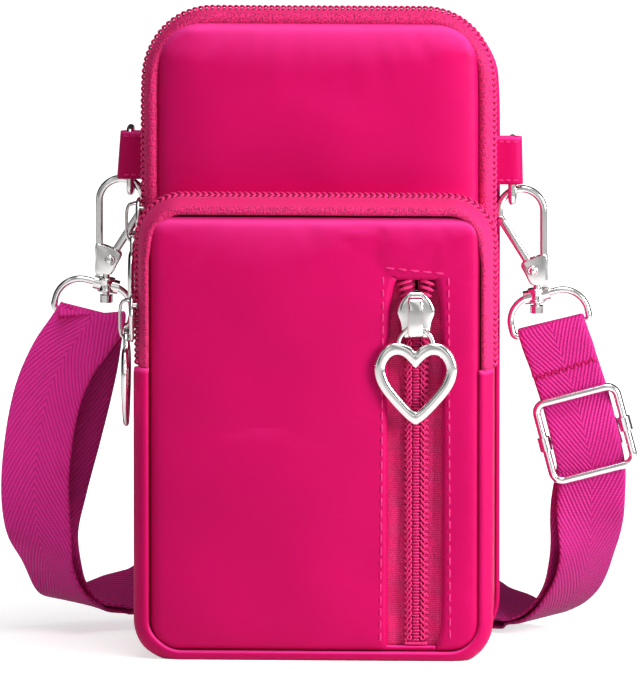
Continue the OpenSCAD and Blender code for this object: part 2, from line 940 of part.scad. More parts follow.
function loop_middle(side) = [
    side * (rivet_x + loop_bar[0]), hook_y, rivet_z - boss_drop + loop_bar[1] + lift(side)
];

// Stations round a bar, from behind it over the top to its front or back again
function wrap(middle, side, tilt, r, angles) = [
    for (a = angles)
        [middle + r * [-side * sin(tilt) * sin(a), cos(a), cos(tilt) * sin(a)],
         [side * cos(tilt), 0, sin(tilt)]]
];

loop_wrap_r = loop_wire_r + strap_t / 2 + wrap_gap;
bar_wrap_r = adjuster_wire_r + strap_t / 2 + wrap_gap;

// A point of the route, with its depth measured from the hooks' middle plane
function at(x, y, z) = [x, hook_y + y, z];

ROUTE = concat(
    [
        [at(71.6, 1.2, 80), [0.96, 0, 0.26]],
        [at(70.4, 1.6, 84.5), [0.96, 0, 0.26]],
        [at(68.9, 1.8, 88.6), [0.97, 0, 0.25]]
    ],
    wrap(loop_middle(1), 1, loop_tilt, loop_wrap_r, [0, 45, 90, 135, 180]),
    [
        [at(68.9, -1.8, 88.6), [0.97, 0, 0.25]],
        [at(70.6, -1, 84), [0.96, 0, 0.26]],
        [at(72.2, -0.4, 79.2), [0.96, 0, 0.26]],
        [at(73.8, -0.1, 74.2), [0.96, 0, 0.26]],
        [at(74.9, -0.3, 70.6), [0.96, 0, 0.26]],
        [at(77.4, -3.1, 61.5), [0.96, 0, 0.26]],
        [at(79.2, -0.4, 52.6), [0.96, 0, 0.2]],
        [at(79.5, -0.1, 48.4), [0.98, 0, 0.12]],
        [at(79.2, -0.4, 40), [0.99, 0.08, 0]],
        [at(78.9, 0.6, 33), [0.92, 0.35, 0]],
        [at(78.2, 1.8, 26), [0.79, 0.6, -0.02]],
        [at(76.2, 4.3, 18.5), [0.7, 0.72, -0.15]],
        [at(73.4, 7, 13), [0.62, 0.77, -0.18]],
        [at(69, 10.6, 7.9), [0.52, 0.83, -0.1]],
        [at(63.3, 15.1, 4.4), [0.35, 0.92, -0.02]],
        [at(57.2, 19.5, 4.5), [0.15, 0.95, 0.25]],
        [at(49.5, 21.5, 5.5), [0.05, 0.9, 0.42]],
        [at(41, 26.4, 9.5), [0, 0.65, 0.76]],
        [at(30, 39, 10.5), [0, 0.25, 0.97]],
        [at(13, 54.5, 10.6), [0, 0, 1]],
        [at(-10, 56.5, 10.6), [0, 0, 1]],
        [at(-29, 43, 10.4), [0, 0.25, 0.97]],
        [at(-44, 27.5, 10.2), [0, 0.65, 0.76]],
        [at(-54, 21.5, 9.7), [-0.1, 0.85, 0.5]],
        [at(-61.7, 19.8, 8.7), [-0.25, 0.9, 0.35]],
        [at(-70.2, 14.8, 8), [-0.55, 0.83, 0.05]],
        [at(-75.9, 6.8, 12.1), [-0.7, 0.7, -0.1]],
        [at(-79.7, 4, 21), [-0.78, 0.62, 0]],
        [at(-82.3, 0.3, 32), [-0.98, 0.2, 0]],
        [at(-83.2, -1, 44), [-1, 0, 0.05]],
        [at(-82.2, -1.6, 57), [-0.98, 0, 0.16]],
        [at(-79.8, -2, 70), [-0.97, 0, 0.24]],
        [at(-75.6, -2.2, 82), [-0.97, 0, 0.25]],
        [at(-71.2, -2, 89.4), [-0.97, 0, 0.25]]
    ],
    wrap(loop_middle(-1), -1, loop_tilt, loop_wrap_r, [180, 135, 90, 45, 0]),
    [
        [at(-68.6, 2.4, 89.4), [-0.97, 0, 0.25]],
        [at(-70, 4.2, 76), [-0.97, 0, 0.24]],
        [at(-73.8, 5.3, 60), [-0.98, 0, 0.16]],
        [at(-78, 5.3, 44), [-1, 0, 0.05]],
        [at(-80.4, 5.3, 31), [-0.98, 0.2, 0]],
        [at(-77.4, 9, 19.8), [-0.78, 0.62, 0]],
        [at(-74.8, 11.8, 13), [-0.7, 0.7, -0.1]],
        [at(-69.6, 15.2, 10), [-0.55, 0.83, 0.05]],
        [at(-61.5, 19.1, 10.6), [-0.25, 0.9, 0.35]],
        [at(-53.8, 20.5, 11.6), [-0.1, 0.85, 0.5]],
        [at(-43.3, 26, 11.9), [0, 0.65, 0.76]],
        [at(-27.8, 40.6, 11.2), [0, 0.25, 0.97]],
        [at(-9.5, 53.6, 10.8), [0, 0, 1]],
        [at(12, 51.6, 10.8), [0, 0, 1]],
        [at(28.5, 35.2, 11.4), [0, 0.25, 0.97]],
        [at(40.3, 22.6, 11.6), [0, 0.65, 0.76]],
        [at(49.3, 18.6, 8.6), [0.05, 0.9, 0.42]],
        [at(57.2, 17.2, 6.9), [0.15, 0.95, 0.25]],
        [at(62.9, 15.3, 6.5), [0.35, 0.92, -0.02]],
        [at(67.8, 12.6, 9.2), [0.52, 0.83, -0.1]],
        [at(71.7, 9.9, 13.8), [0.64, 0.76, -0.15]],
        [at(74, 7.7, 20.6), [0.72, 0.69, -0.1]],
        [at(75.9, 5.8, 29), [0.85, 0.5, 0]],
        [at(77.4, 4.4, 41), [1, 0.05, 0]],
        [at(79, 2.8, 51), [0.98, 0, 0.15]],
        [at(78, 2.1, 58), [0.96, 0, 0.26]]
    ],
    wrap([adjuster_x, adjuster_y + bar_back, adjuster_z], 1, adjuster_tilt, bar_wrap_r, [0, 45, 90, 135, 180]),
    [
        [at(78, -1.3, 59.6), [0.96, 0, 0.26]],
        [at(78.5, -0.5, 58), [0.96, 0, 0.26]],
        [at(78.9, 0, 56.4), [0.96, 0, 0.26]]
    ]
);

last = len(ROUTE) - 1;

// Smooth curve through four neighbouring entries, at share t between the middle two
function curve(a, b, c, d, t) =
    (2 * b + (c - a) * t + (2 * a - 5 * b + 4 * c - d) * t * t + (3 * b - a - 3 * c + d) * t * t * t) / 2;

function route_at(k, i) = [
    curve(ROUTE[max(k - 1, 0)][0], ROUTE[k][0], ROUTE[k + 1][0], ROUTE[min(k + 2, last)][0], i / strap_steps),
    ROUTE[k][1] * (1 - i / strap_steps) + ROUTE[k + 1][1] * i / strap_steps
];

SAMPLES = concat([for (k = [0:last - 1], i = [0:strap_steps - 1]) route_at(k, i)], [ROUTE[last]]);
ends = len(SAMPLES) - 1;

function unit(v) = v / norm(v);

function tangent(j) = unit(SAMPLES[min(j + 1, ends)][0] - SAMPLES[max(j - 1, 0)][0]);

function across(j) = unit(SAMPLES[j][1] - (SAMPLES[j][1] * tangent(j)) * tangent(j));

function section(j) =
    let (p = SAMPLES[j][0], w = across(j) * strap_w / 2, n = cross(tangent(j), across(j)) * strap_t / 2)
        [p + w + n, p - w + n, p - w - n, p + w - n];

module strap_webbing() {
    color(webbing_pink)
        polyhedron(
            points = [for (j = [0:ends]) each section(j)],
            faces = concat(
                [[0, 1, 2], [0, 2, 3]],
                [for (j = [0:ends - 1], e = [0:3]) [4 * j + e, 4 * j + 4 + e, 4 * j + (e + 1) % 4]],
                [for (j = [0:ends - 1], e = [0:3])
                    [4 * j + (e + 1) % 4, 4 * j + 4 + e, 4 * j + 4 + (e + 1) % 4]],
                [[4 * ends + 2, 4 * ends + 1, 4 * ends], [4 * ends + 3, 4 * ends + 2, 4 * ends]]
            )
        );
}

back_panel();
back_piping();
main_gusset();
main_front_panel();
main_lining();
main_zip_tape_front();
main_zip_tape_rear();
main_zip_coil_front();
main_zip_coil_rear();
main_zip_slider();
main_zip_pull();
pocket_gusset();
pocket_edge_roll();
pocket_front_panel();
pocket_zip_tape_front();
pocket_zip_tape_rear();
pocket_zip_coil_front();
pocket_zip_coil_rear();
pocket_zip_slider();
pocket_zip_pull();
front_zip_tape_left();
front_zip_tape_right();
front_zip_coil_left();
front_zip_coil_right();
front_zip_bottom_stop();
front_zip_top_stops();
front_zip_bag();
front_zip_slider();
front_zip_pull();
tab(-1);  // tab_left
tab(1);  // tab_right
ring(-1);  // ring_left
ring(1);  // ring_right
hook(-1);  // hook_left
hook(1);  // hook_right
gate(-1);  // gate_left
gate(1);  // gate_right
gate_rivet(-1);  // gate_rivet_left
gate_rivet(1);  // gate_rivet_right
gate_spring(-1);  // gate_spring_left
gate_spring(1);  // gate_spring_right
swivel_stud(-1);  // swivel_stud_left
swivel_stud(1);  // swivel_stud_right
strap_loop(-1);  // strap_loop_left
strap_loop(1);  // strap_loop_right
adjuster_frame();
adjuster_bar();
strap_webbing();
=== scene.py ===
# Upright zipped pouch with heart pulls and a clip-on webbing strap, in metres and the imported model's frame
import math

import bmesh
import bpy
import numpy as np
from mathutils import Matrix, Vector


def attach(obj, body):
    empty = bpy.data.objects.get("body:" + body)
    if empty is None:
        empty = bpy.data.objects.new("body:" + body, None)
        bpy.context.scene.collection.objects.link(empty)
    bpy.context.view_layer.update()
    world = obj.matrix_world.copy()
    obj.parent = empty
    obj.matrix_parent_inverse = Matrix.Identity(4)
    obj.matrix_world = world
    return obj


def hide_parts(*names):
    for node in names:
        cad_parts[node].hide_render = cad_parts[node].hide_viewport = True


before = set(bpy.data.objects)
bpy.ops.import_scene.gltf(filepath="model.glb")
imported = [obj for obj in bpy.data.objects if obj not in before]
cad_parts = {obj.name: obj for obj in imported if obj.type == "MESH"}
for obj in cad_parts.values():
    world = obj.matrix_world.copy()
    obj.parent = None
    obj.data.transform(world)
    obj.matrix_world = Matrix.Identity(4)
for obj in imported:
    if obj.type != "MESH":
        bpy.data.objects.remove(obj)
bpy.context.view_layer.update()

MM = 0.001
TAU = 2 * math.pi
SIDES = (("left", -1), ("right", 1))

# Camera: the photograph looks from a little to the right and a little above
AZIMUTH = math.radians(2.5)
ELEVATION = math.radians(8)
CAMERA_DISTANCE = 6.0
AIM = Vector((0.0015, -0.025, 0.0950))
VIEW_HEIGHT = 0.1976
SENSOR = 36

scene = bpy.context.scene
camera_data = bpy.data.cameras.new("camera")
camera = bpy.data.objects.new("camera", camera_data)
scene.collection.objects.link(camera)
camera_back = Vector((
    math.sin(AZIMUTH) * math.cos(ELEVATION),
    -math.cos(AZIMUTH) * math.cos(ELEVATION),
    math.sin(ELEVATION),
))
camera.location = AIM + camera_back * CAMERA_DISTANCE
camera.rotation_mode = "QUATERNION"
camera.rotation_quaternion = (-camera_back).to_track_quat("-Z", "Y")
camera_data.sensor_width = SENSOR
camera_data.lens = SENSOR * CAMERA_DISTANCE / VIEW_HEIGHT
camera_data.clip_start = 0.05
camera_data.clip_end = 20
scene.camera = camera
scene.view_settings.view_transform = "Standard"


# Materials
class Nodes:
    """Short ways to add to one node tree."""

    def __init__(self, tree):
        self.tree = tree

    def node(self, kind, inputs=None, **settings):
        made = self.tree.nodes.new("ShaderNode" + kind)
        for key, value in settings.items():
            setattr(made, key, value)
        for key, value in (inputs or {}).items():
            if isinstance(value, bpy.types.NodeSocket):
                self.tree.links.new(value, made.inputs[key])
            else:
                made.inputs[key].default_value = value
        return made

    def add(self, kind, inputs=None, **settings):
        return self.node(kind, inputs, **settings).outputs

    def maths(self, operation, a, b=0.0):
        return self.add("Math", {0: a, 1: b}, operation=operation)[0]

    def plus(self, a, b):
        return self.maths("ADD", a, b)

    def minus(self, a, b):
        return self.maths("SUBTRACT", a, b)

    def times(self, a, b):
        return self.maths("MULTIPLY", a, b)

    def ranged(self, value, low, high, to_low=0.0, to_high=1.0):
        """A value between low and high carried to the other range, and kept inside it."""
        return self.add("MapRange", {0: value, 1: low, 2: high, 3: to_low, 4: to_high})[0]

    def blend(self, factor, a, b, kind="MIX"):
        return self.add("Mix", {0: factor, 6: a, 7: b}, data_type="RGBA", blend_type=kind)[2]

    def parts(self, vector):
        return self.add("SeparateXYZ", {0: vector})

    def place(self):
        return self.add("TexCoord")["Object"]

    def uv(self):
        return self.parts(self.add("UVMap")[0])

    def noise(self, place, size, detail=2.0):
        return self.add("TexNoise", {"Vector": place, "Scale": 1 / size, "Detail": detail})["Fac"]

    def ridges(self, coordinate, pitch):
        """A smooth wave from 0 to 1 whose crests lie one pitch apart."""
        wave = self.maths("SINE", self.times(coordinate, TAU / pitch))
        return self.plus(self.times(wave, 0.5), 0.5)

    def shades(self, factor, dark, light, low=0.35, high=0.65):
        ramp = self.node("ValToRGB", {"Fac": factor})
        for element, position, colour in zip(ramp.color_ramp.elements, (low, high), (dark, light)):
            element.position = position
            element.color = (*colour, 1)
        return ramp.outputs["Color"]

    def colour(self, socket, shader):
        self.tree.links.new(socket, shader.inputs["Base Color"])

    def bumps(self, shader, *layers):
        """Layers of (height, strength, depth), each on top of the one before."""
        normal = {}
        for height, strength, depth in layers:
            inputs = {"Height": height, "Strength": strength, "Distance": depth, **normal}
            normal = {"Normal": self.add("Bump", inputs)["Normal"]}
        self.tree.links.new(normal["Normal"], shader.inputs["Normal"])

    def output(self, kind, socket):
        self.tree.links.new(socket, self.node(kind).inputs[0])


def surface(name, colour, roughness, **more):
    """A new material with its nodes and shader; more names shader inputs, with _ for a space."""
    made = bpy.data.materials.new(name)
    made.use_nodes = True
    shader = made.node_tree.nodes["Principled BSDF"]
    shader.inputs["Base Color"].default_value = (*colour, 1)
    shader.inputs["Roughness"].default_value = roughness
    for key, value in more.items():
        shader.inputs[key.replace("_", " ")].default_value = value
    return made, Nodes(made.node_tree), shader


def emptied(holder):
    """The nodes of a material or world without the ones it starts with."""
    holder.use_nodes = True
    holder.node_tree.nodes.clear()
    return Nodes(holder.node_tree)


def tint(colour, factor):
    return tuple(min(1.0, c * factor) for c in colour)


# Colours, linear
SHELL = (0.53, 0.0018, 0.094)
# Painted sheen: the paler colour the fabric turns where it faces up
PAINTED_TOP_SHEEN = (0.82, 0.045, 0.30, 1)
TAPE = (0.64, 0.016, 0.135)
COIL = (0.76, 0.03, 0.18)
# Painted shade: the dark cores behind the coils stand for the shade in the gaps between the teeth
COIL_CORE_SHADE = (0.22, 0.002, 0.03)
STITCH = (0.80, 0.035, 0.21)
STRAP_THREAD = (0.42, 0.006, 0.09)
LINING = (0.14, 0.002, 0.03)
WEBBING = (0.64, 0.024, 0.25)
NICKEL = (0.84, 0.83, 0.82)
NYLON_THREAD = 0.42 * MM


def nylon(name, colour):
    """Satin woven nylon, with a painted sheen that makes it paler where it faces up."""
    made, nodes, shader = surface(name, colour, 0.48, Specular_IOR_Level=0.25,
                                  Specular_Tint=(1.0, 0.3, 0.75, 1))
    place = nodes.place()
    at = nodes.parts(place)
    warp = nodes.ridges(nodes.plus(at["X"], at["Y"]), NYLON_THREAD)
    weft = nodes.ridges(at["Z"], NYLON_THREAD)
    weave = nodes.plus(nodes.times(warp, 0.5), nodes.times(weft, 0.5))
    grain = nodes.noise(place, 0.9 * MM)
    waves = nodes.noise(place, 30 * MM, 1)
    patches = nodes.noise(place, 34 * MM)
    base = nodes.shades(patches, tint(colour, 0.95), tint(colour, 1.04))
    up = nodes.parts(nodes.add("NewGeometry")["Normal"])["Z"]
    # Painted sheen: the colour turns towards the paler one where the surface faces up
    nodes.colour(nodes.blend(nodes.ranged(up, 0.04, 0.55, 0.0, 0.75), base, PAINTED_TOP_SHEEN), shader)
    nodes.bumps(shader, (waves, 0.25, 2.0 * MM), (grain, 0.1, 0.1 * MM), (weave, 0.1, 0.05 * MM))
    return made


def ribbed(name, colour, along=0.72 * MM, across=0.95 * MM, depth=0.22 * MM, smooth_from=None, painted_shade_span=None,
           terry=0.3):
    """Woven tape: its first UV runs along the tape and its second across it, both in metres. smooth_from is
    where the ribs turn into a smooth selvedge, and painted_shade_span paints shade on it, darker towards the
    left and the top."""
    made, nodes, shader = surface(name, colour, 0.62, Sheen_Weight=0.15, Sheen_Roughness=0.4,
                                  Sheen_Tint=(1.0, 0.3, 0.6, 1), Specular_IOR_Level=0.2)
    place = nodes.place()
    uv = nodes.uv()
    rows = nodes.ridges(uv["X"], along)
    columns = nodes.ridges(nodes.plus(uv["Y"], nodes.times(uv["X"], 0.5)), across)
    weave = nodes.times(rows, nodes.plus(nodes.times(columns, 0.6), 0.4))
    grain = nodes.noise(place, 0.6 * MM)
    tufts = nodes.minus(nodes.times(grain, 2.4), 0.7)
    mixed = nodes.plus(nodes.times(weave, 1 - terry), nodes.times(tufts, terry))
    if smooth_from is not None:
        edge = nodes.ranged(uv["Y"], smooth_from - 0.5 * MM, smooth_from + 0.3 * MM)
        mixed = nodes.plus(mixed, nodes.times(edge, nodes.minus(0.55, mixed)))
    colours = nodes.shades(mixed, tint(colour, 0.6), tint(colour, 1.25), 0.2, 0.75)
    # Painted shade: the tape darkens towards the left and the top
    if painted_shade_span is not None:
        left, right, low, high = painted_shade_span
        at = nodes.parts(place)
        side = nodes.ranged(at["X"], left, right, 0.0, 0.55)
        down = nodes.ranged(at["Z"], low, high, 0.45, 0.0)
        dimmed = nodes.blend(nodes.plus(side, down), (0.7, 0.5, 0.6, 1), (1, 1, 1, 1))
        colours = nodes.blend(1.0, colours, dimmed, "MULTIPLY")
    nodes.colour(colours, shader)
    nodes.bumps(shader, (mixed, 0.8, depth), (grain, 0.3, 0.15 * MM))
    return made


def thread(name, colour, roughness=0.5):
    made, nodes, shader = surface(name, colour, roughness, Specular_IOR_Level=0.22,
                                  Specular_Tint=(1.0, 0.5, 0.7, 1))
    grain = nodes.noise(nodes.place(), 0.5 * MM)
    nodes.colour(nodes.shades(grain, tint(colour, 0.8), tint(colour, 1.15)), shader)
    nodes.bumps(shader, (grain, 0.3, 0.08 * MM))
    return made


def herringbone(name, colour):
    """Twill whose lines meet in a point along the middle: UV is along and across the band, in metres."""
    made, nodes, shader = surface(name, colour, 0.5, Specular_IOR_Level=0.28,
                                  Specular_Tint=(1.0, 0.35, 0.8, 1))
    place = nodes.place()
    uv = nodes.uv()
    lines = nodes.ridges(nodes.plus(nodes.times(uv["X"], 0.5), nodes.maths("ABSOLUTE", uv["Y"])), 1.15 * MM)
    threads = nodes.ridges(uv["X"], 0.8 * MM)
    picks = nodes.times(lines, nodes.plus(nodes.times(threads, 0.45), 0.55))
    grain = nodes.noise(place, 0.6 * MM)
    mixed = nodes.plus(nodes.times(picks, 0.8), nodes.times(grain, 0.2))
    # Painted light and shade: darker near the table, lighter to the left, and painted shade where a layer
    # hangs behind another on the left
    at = nodes.parts(place)
    low = nodes.ranged(at["Z"], 0.0, 55 * MM, 0.55, 0.95)
    side = nodes.ranged(at["X"], -60 * MM, 40 * MM, 1.65, 0.9)
    behind = nodes.ranged(at["Y"], 20.2 * MM, 21.4 * MM)
    above = nodes.ranged(at["Z"], 26 * MM, 42 * MM)
    left = nodes.ranged(at["X"], -50 * MM, -60 * MM)
    shade = nodes.minus(1.0, nodes.times(nodes.times(nodes.times(behind, above), left), 0.5))
    painted_light_and_shade = nodes.times(nodes.times(low, side), shade)
    base = nodes.shades(mixed, tint(colour, 0.74), tint(colour, 1.18), 0.12, 0.72)
    nodes.colour(nodes.add("VectorMath", {0: base, 3: painted_light_and_shade}, operation="SCALE")[0], shader)
    nodes.bumps(shader, (picks, 0.8, 0.28 * MM), (grain, 0.2, 0.1 * MM))
    return made


def polished(name, colour, roughness):
    made, nodes, shader = surface(name, colour, roughness, Metallic=1.0)
    place = nodes.place()
    smear = nodes.noise(place, 5 * MM, 3)
    rough = nodes.ranged(smear, 0.0, 1.0, roughness * 0.7, roughness * 1.9)
    nodes.tree.links.new(rough, shader.inputs["Roughness"])
    nodes.bumps(shader, (nodes.noise(place, 1.6 * MM, 1), 0.1, 0.05 * MM))
    return made


shell_mat = nylon("shell_fabric", SHELL)
tape_mat = ribbed("zip_tape", TAPE, smooth_from=5.4 * MM, terry=0.85)
edge_mat = nylon("edge_roll_fabric", SHELL)
# The vertical zip's tape is the tape colour made lighter, as painted light against the shade of its deep
# slot, with painted shade darker towards the left and the top
inner_tape_mat = ribbed("front_zip_tape", tint(TAPE, 1.45), 0.55 * MM, 0.8 * MM, 0.15 * MM,
                        painted_shade_span=(21 * MM, 38 * MM, 20 * MM, 112 * MM))
coil_mat = thread("zip_coil", COIL, 0.35)
coil_core_shade_mat = thread("zip_coil_core", COIL_CORE_SHADE, 0.7)
stitch_mat = thread("stitching", STITCH)
strap_thread_mat = thread("strap_stitching", STRAP_THREAD)
lining_mat = nylon("lining_fabric", LINING)
webbing_mat = herringbone("webbing", WEBBING)
nickel_mat = polished("polished_nickel", NICKEL, 0.09)


# Mesh helpers: points are written in millimetres
def piece(name, made_mesh, look, *stands_for, body="pouch", smooth=True):
    """A made mesh as an object that rides on a body and may stand for nodes of the model."""
    points, faces, uv = made_mesh if len(made_mesh) == 3 else (*made_mesh, None)
    mesh = bpy.data.meshes.new(name)
    scaled = np.asarray(points, float).reshape(-1, 3) * MM
    mesh.from_pydata(scaled.tolist(), [], [list(map(int, f)) for f in faces])
    mesh.update()
    if uv is not None:
        layer = mesh.uv_layers.new(name="UVMap")
        uv = np.asarray(uv, float) * MM
        index = np.zeros(len(mesh.loops), int)
        mesh.loops.foreach_get("vertex_index", index)
        layer.data.foreach_set("uv", uv[index].ravel())
    work = bmesh.new()
    work.from_mesh(mesh)
    bmesh.ops.recalc_face_normals(work, faces=work.faces)
    work.to_mesh(mesh)
    work.free()
    mesh.polygons.foreach_set("use_smooth", [smooth] * len(mesh.polygons))
    mesh.materials.append(look)
    made = bpy.data.objects.new(name, mesh)
    scene.collection.objects.link(made)
    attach(made, body)
    if stands_for:
        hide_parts(*stands_for)
    return made


def grid_faces(rows, columns, close_rows=False, close_columns=False):
    faces = []
    for i in range(rows if close_rows else rows - 1):
        for j in range(columns if close_columns else columns - 1):
            a = i * columns + j
            b = i * columns + (j + 1) % columns
            c = ((i + 1) % rows) * columns + (j + 1) % columns
            d = ((i + 1) % rows) * columns + j
            faces.append((a, b, c, d))
    return faces


def pipe_faces(rows, columns):
    """Faces between rings of points, with a cap on each end."""
    last = (rows - 1) * columns
    return grid_faces(rows, columns, False, True) + [
        tuple(range(columns))[::-1], tuple(last + k for k in range(columns)),
    ]


def join(parts):
    """Several (points, faces) or (points, faces, uv) as one."""
    points, faces, uvs, count = [], [], [], 0
    for part in parts:
        points.append(np.asarray(part[0], float))
        faces += [tuple(i + count for i in face) for face in part[1]]
        if len(part) > 2:
            uvs.append(np.asarray(part[2], float))
        count += len(part[0])
    return np.concatenate(points), faces, (np.concatenate(uvs) if uvs else None)


def unit(vectors):
    return vectors / np.linalg.norm(vectors, axis=1)[:, None]


def along(line):
    """Unit directions along the points of a line."""
    return unit(np.gradient(np.asarray(line, float), axis=0))


def beside(line):
    """Unit directions to the left of a line in a plane."""
    t = along(line)
    return np.stack([-t[:, 1], t[:, 0]], 1)


def spots(x, y, z):
    """Points from their coordinates, where one number may stand for many."""
    return np.stack(np.broadcast_arrays(x, y, z), -1).reshape(-1, 3)


def lengths(points):
    """The length of a line up to each of its points."""
    return np.concatenate([[0], np.cumsum(np.linalg.norm(np.diff(points, axis=0), axis=1))])


def angles(count):
    return np.linspace(0, TAU, count + 1)[:-1]


def tube(centres, radius, sides=8, up=(0, 1, 0), radii=None):
    """A round tube along points; returns points, faces and UVs."""
    c = np.asarray(centres, float)
    count = len(c)
    t = along(c)
    n = np.cross(t, np.asarray(up, float))
    weak = np.linalg.norm(n, axis=1) < 1e-4
    n[weak] = np.cross(t[weak], (1.0, 0.0, 0.0))
    n = unit(n)
    b = np.cross(t, n)
    angle = np.arange(sides) * TAU / sides
    r = np.full(count, radius) if radii is None else np.asarray(radii, float)
    ring = np.cos(angle)[None, :, None] * n[:, None, :] + np.sin(angle)[None, :, None] * b[:, None, :]
    points = (c[:, None, :] + ring * r[:, None, None]).reshape(-1, 3)
    uv = np.stack([np.repeat(lengths(c), sides), np.tile(angle * radius, count)], 1)
    return points, pipe_faces(count, sides), uv


# The nested rims of the pouch share their corner centres
CORNER_X = 39.0
BASE_Z = 11.6
MAIN_TOP = 176.6
POCKET_TOP = 123.0
ZIP_END = 86.0
WALL_A = 11.6
STATION_STEP = 1.5
ARC_STEPS = 14
ARC_R = 12.0


def stations(low, top, closed, bend=0.0):
    """Points of the corner centres' rectangle, its upper corners rounded by bend, with outward directions and
    the length along the rim."""
    out = []

    def straight(x0, z0, x1, z1, nx, nz):
        length = math.hypot(x1 - x0, z1 - z0)
        count = max(1, math.ceil(length / STATION_STEP))
        for k in range(count):
            f = k / count
            out.append([x0 + (x1 - x0) * f, z0 + (z1 - z0) * f, nx, nz, length / count])

    def corner(x, z, start, r=0.0):
        for k in range(ARC_STEPS):
            a = math.radians(start + 90 * k / ARC_STEPS)
            c, d = math.cos(a), math.sin(a)
            out.append([x + r * c, z + r * d, c, d, (ARC_R + r) * math.pi / 2 / ARC_STEPS])

    straight(CORNER_X, low, CORNER_X, top - bend, 1, 0)
    corner(CORNER_X - bend, top - bend, 0, bend)
    straight(CORNER_X - bend, top, bend - CORNER_X, top, 0, 1)
    corner(bend - CORNER_X, top - bend, 90, bend)
    straight(-CORNER_X, top - bend, -CORNER_X, low, -1, 0)
    if closed:
        corner(-CORNER_X, low, 180)
        straight(-CORNER_X, low, CORNER_X, low, 0, -1)
        corner(CORNER_X, low, 270)
    else:
        out.append([-CORNER_X, low, -1, 0, 0])
    rows = np.array(out)
    return np.column_stack([rows[:, :4], np.concatenate([[0], np.cumsum(rows[:-1, 4])])])


def under(rows, low):
    """The same stations turned to run down one side, under the base and up the other."""
    turned = rows.copy()
    turned[:, 1] = 2 * low - turned[:, 1]
    turned[:, 3] = -turned[:, 3]
    return turned


def sweep(rows, profile, closed_path=False):
    """Carries a profile of (distance from the corner centre, depth) along the stations."""
    profile = np.asarray(profile, float)
    n, m = len(rows), len(profile)
    x = rows[:, :1] + rows[:, 2:3] * profile[:, 0]
    z = rows[:, 1:2] + rows[:, 3:4] * profile[:, 0]
    points = spots(x, profile[:, 1], z)
    faces = grid_faces(n, m, True, True) if closed_path else pipe_faces(n, m)
    uv = np.stack([np.repeat(rows[:, 4], m), np.tile(lengths(profile), n)], 1)
    return points, faces, uv


def smooth_line(points, each):
    """A Catmull-Rom curve through points."""
    p = np.asarray(points, float)
    ends = np.vstack([p[0], p, p[-1]])
    out = []
    for k in range(len(p) - 1):
        a, b, c, d = ends[k:k + 4]
        for i in range(each):
            t = i / each
            out.append((2 * b + (c - a) * t + (2 * a - 5 * b + 4 * c - d) * t * t
                        + (3 * b - a - 3 * c + d) * t ** 3) / 2)
    out.append(p[-1])
    return np.array(out)


BAND_T = 0.6


def band(points):
    """A closed profile: a curve of (a, y) points and the same curve offset to its left."""
    line = smooth_line(points, 4)
    return np.vstack([line, (line + beside(line) * BAND_T)[::-1]])


def there_and_back(half, tip, flip=(1, -1)):
    """An outline of one half, the point between the halves and the mirrored half."""
    return [*half, tip, *[(a * flip[0], b * flip[1]) for a, b in half[::-1]]]


# Rounded outlines are (half width, lowest z, highest z, lower corner radius, upper corner radius)
def corner_parts(z, shape):
    """Radius and centre of the corner nearest to each height, and which way is outward in z."""
    edge_x, z0, z1, r_low, r_top = shape
    upper = z > (z0 + z1) / 2
    r = np.where(upper, r_top, r_low)
    return r, edge_x - r, np.where(upper, z1 - r_top, z0 + r_low), np.where(upper, 1, -1)


def outside_by(qx, qz):
    return np.hypot(np.maximum(qx, 0), np.maximum(qz, 0)) + np.minimum(np.maximum(qx, qz), 0)


def distance_inside(x, z, shape):
    """How far a point lies inside the rounded outline."""
    r, cx, cz, up = corner_parts(z, shape)
    return r - outside_by(np.abs(x) - cx, (z - cz) * up)


def rounded(x, z, shape):
    """Moves grid points of a rectangle's corners onto quarter discs."""
    r, cx, cz, up = corner_parts(z, shape)
    u = np.maximum(np.abs(x) - cx, 0) / r
    v = np.maximum((z - cz) * up, 0) / r
    new_x = np.where(u > 0, np.sign(x) * (cx + u * np.sqrt(1 - v * v / 2) * r), x)
    new_z = np.where(v > 0, cz + up * v * np.sqrt(1 - u * u / 2) * r, z)
    return new_x, new_z


def cuts(*stops, step=2.0):
    """Numbers through all the stops, at most a step apart."""
    out = [stops[0]]
    for low, high in zip(stops, stops[1:]):
        count = max(1, math.ceil((high - low) / step))
        out += [low + (high - low) * (k + 1) / count for k in range(count)]
    return out


def eased(t):
    """A smooth step from 0 to 1."""
    t = np.clip(t, 0, 1)
    return t * t * (3 - 2 * t)


def rising(distance, over):
    """From 0 at an edge to 1 well away from it."""
    return 1 - np.exp(-distance / over)


def closed_shell(front, back, faces):
    """Joins a front and a back surface with walls along their open edges."""
    count = len(front)
    used = {}
    for face in faces:
        for a, b in zip(face, face[1:] + face[:1]):
            used[(a, b)] = used.get((a, b), 0) + 1
    walls = [(b, a, a + count, b + count) for (a, b) in used if (b, a) not in used]
    back_faces = [tuple(i + count for i in face[::-1]) for face in faces]
    return np.vstack([front, back]), list(faces) + back_faces + walls


def grid_of(xs, zs, hole=None):
    """Grid points and the quads between them, without those inside the hole (x0, x1, z0, z1)."""
    gx, gz = np.meshgrid(xs, zs)
    wide = len(xs)
    faces = []
    for i in range(len(zs) - 1):
        for j in range(wide - 1):
            mx = (xs[j] + xs[j + 1]) / 2
            mz = (zs[i] + zs[i + 1]) / 2
            if hole and hole[0] < mx < hole[1] and hole[2] < mz < hole[3]:
                continue
            a = i * wide + j
            faces.append((a, a + 1, a + wide + 1, a + wide))
    return gx.ravel(), gz.ravel(), faces


def without_strays(points, faces):
    used = sorted({i for face in faces for i in face})
    place = {old: new for new, old in enumerate(used)}
    return points[used], [tuple(place[i] for i in face) for face in faces]


WAVES = 14


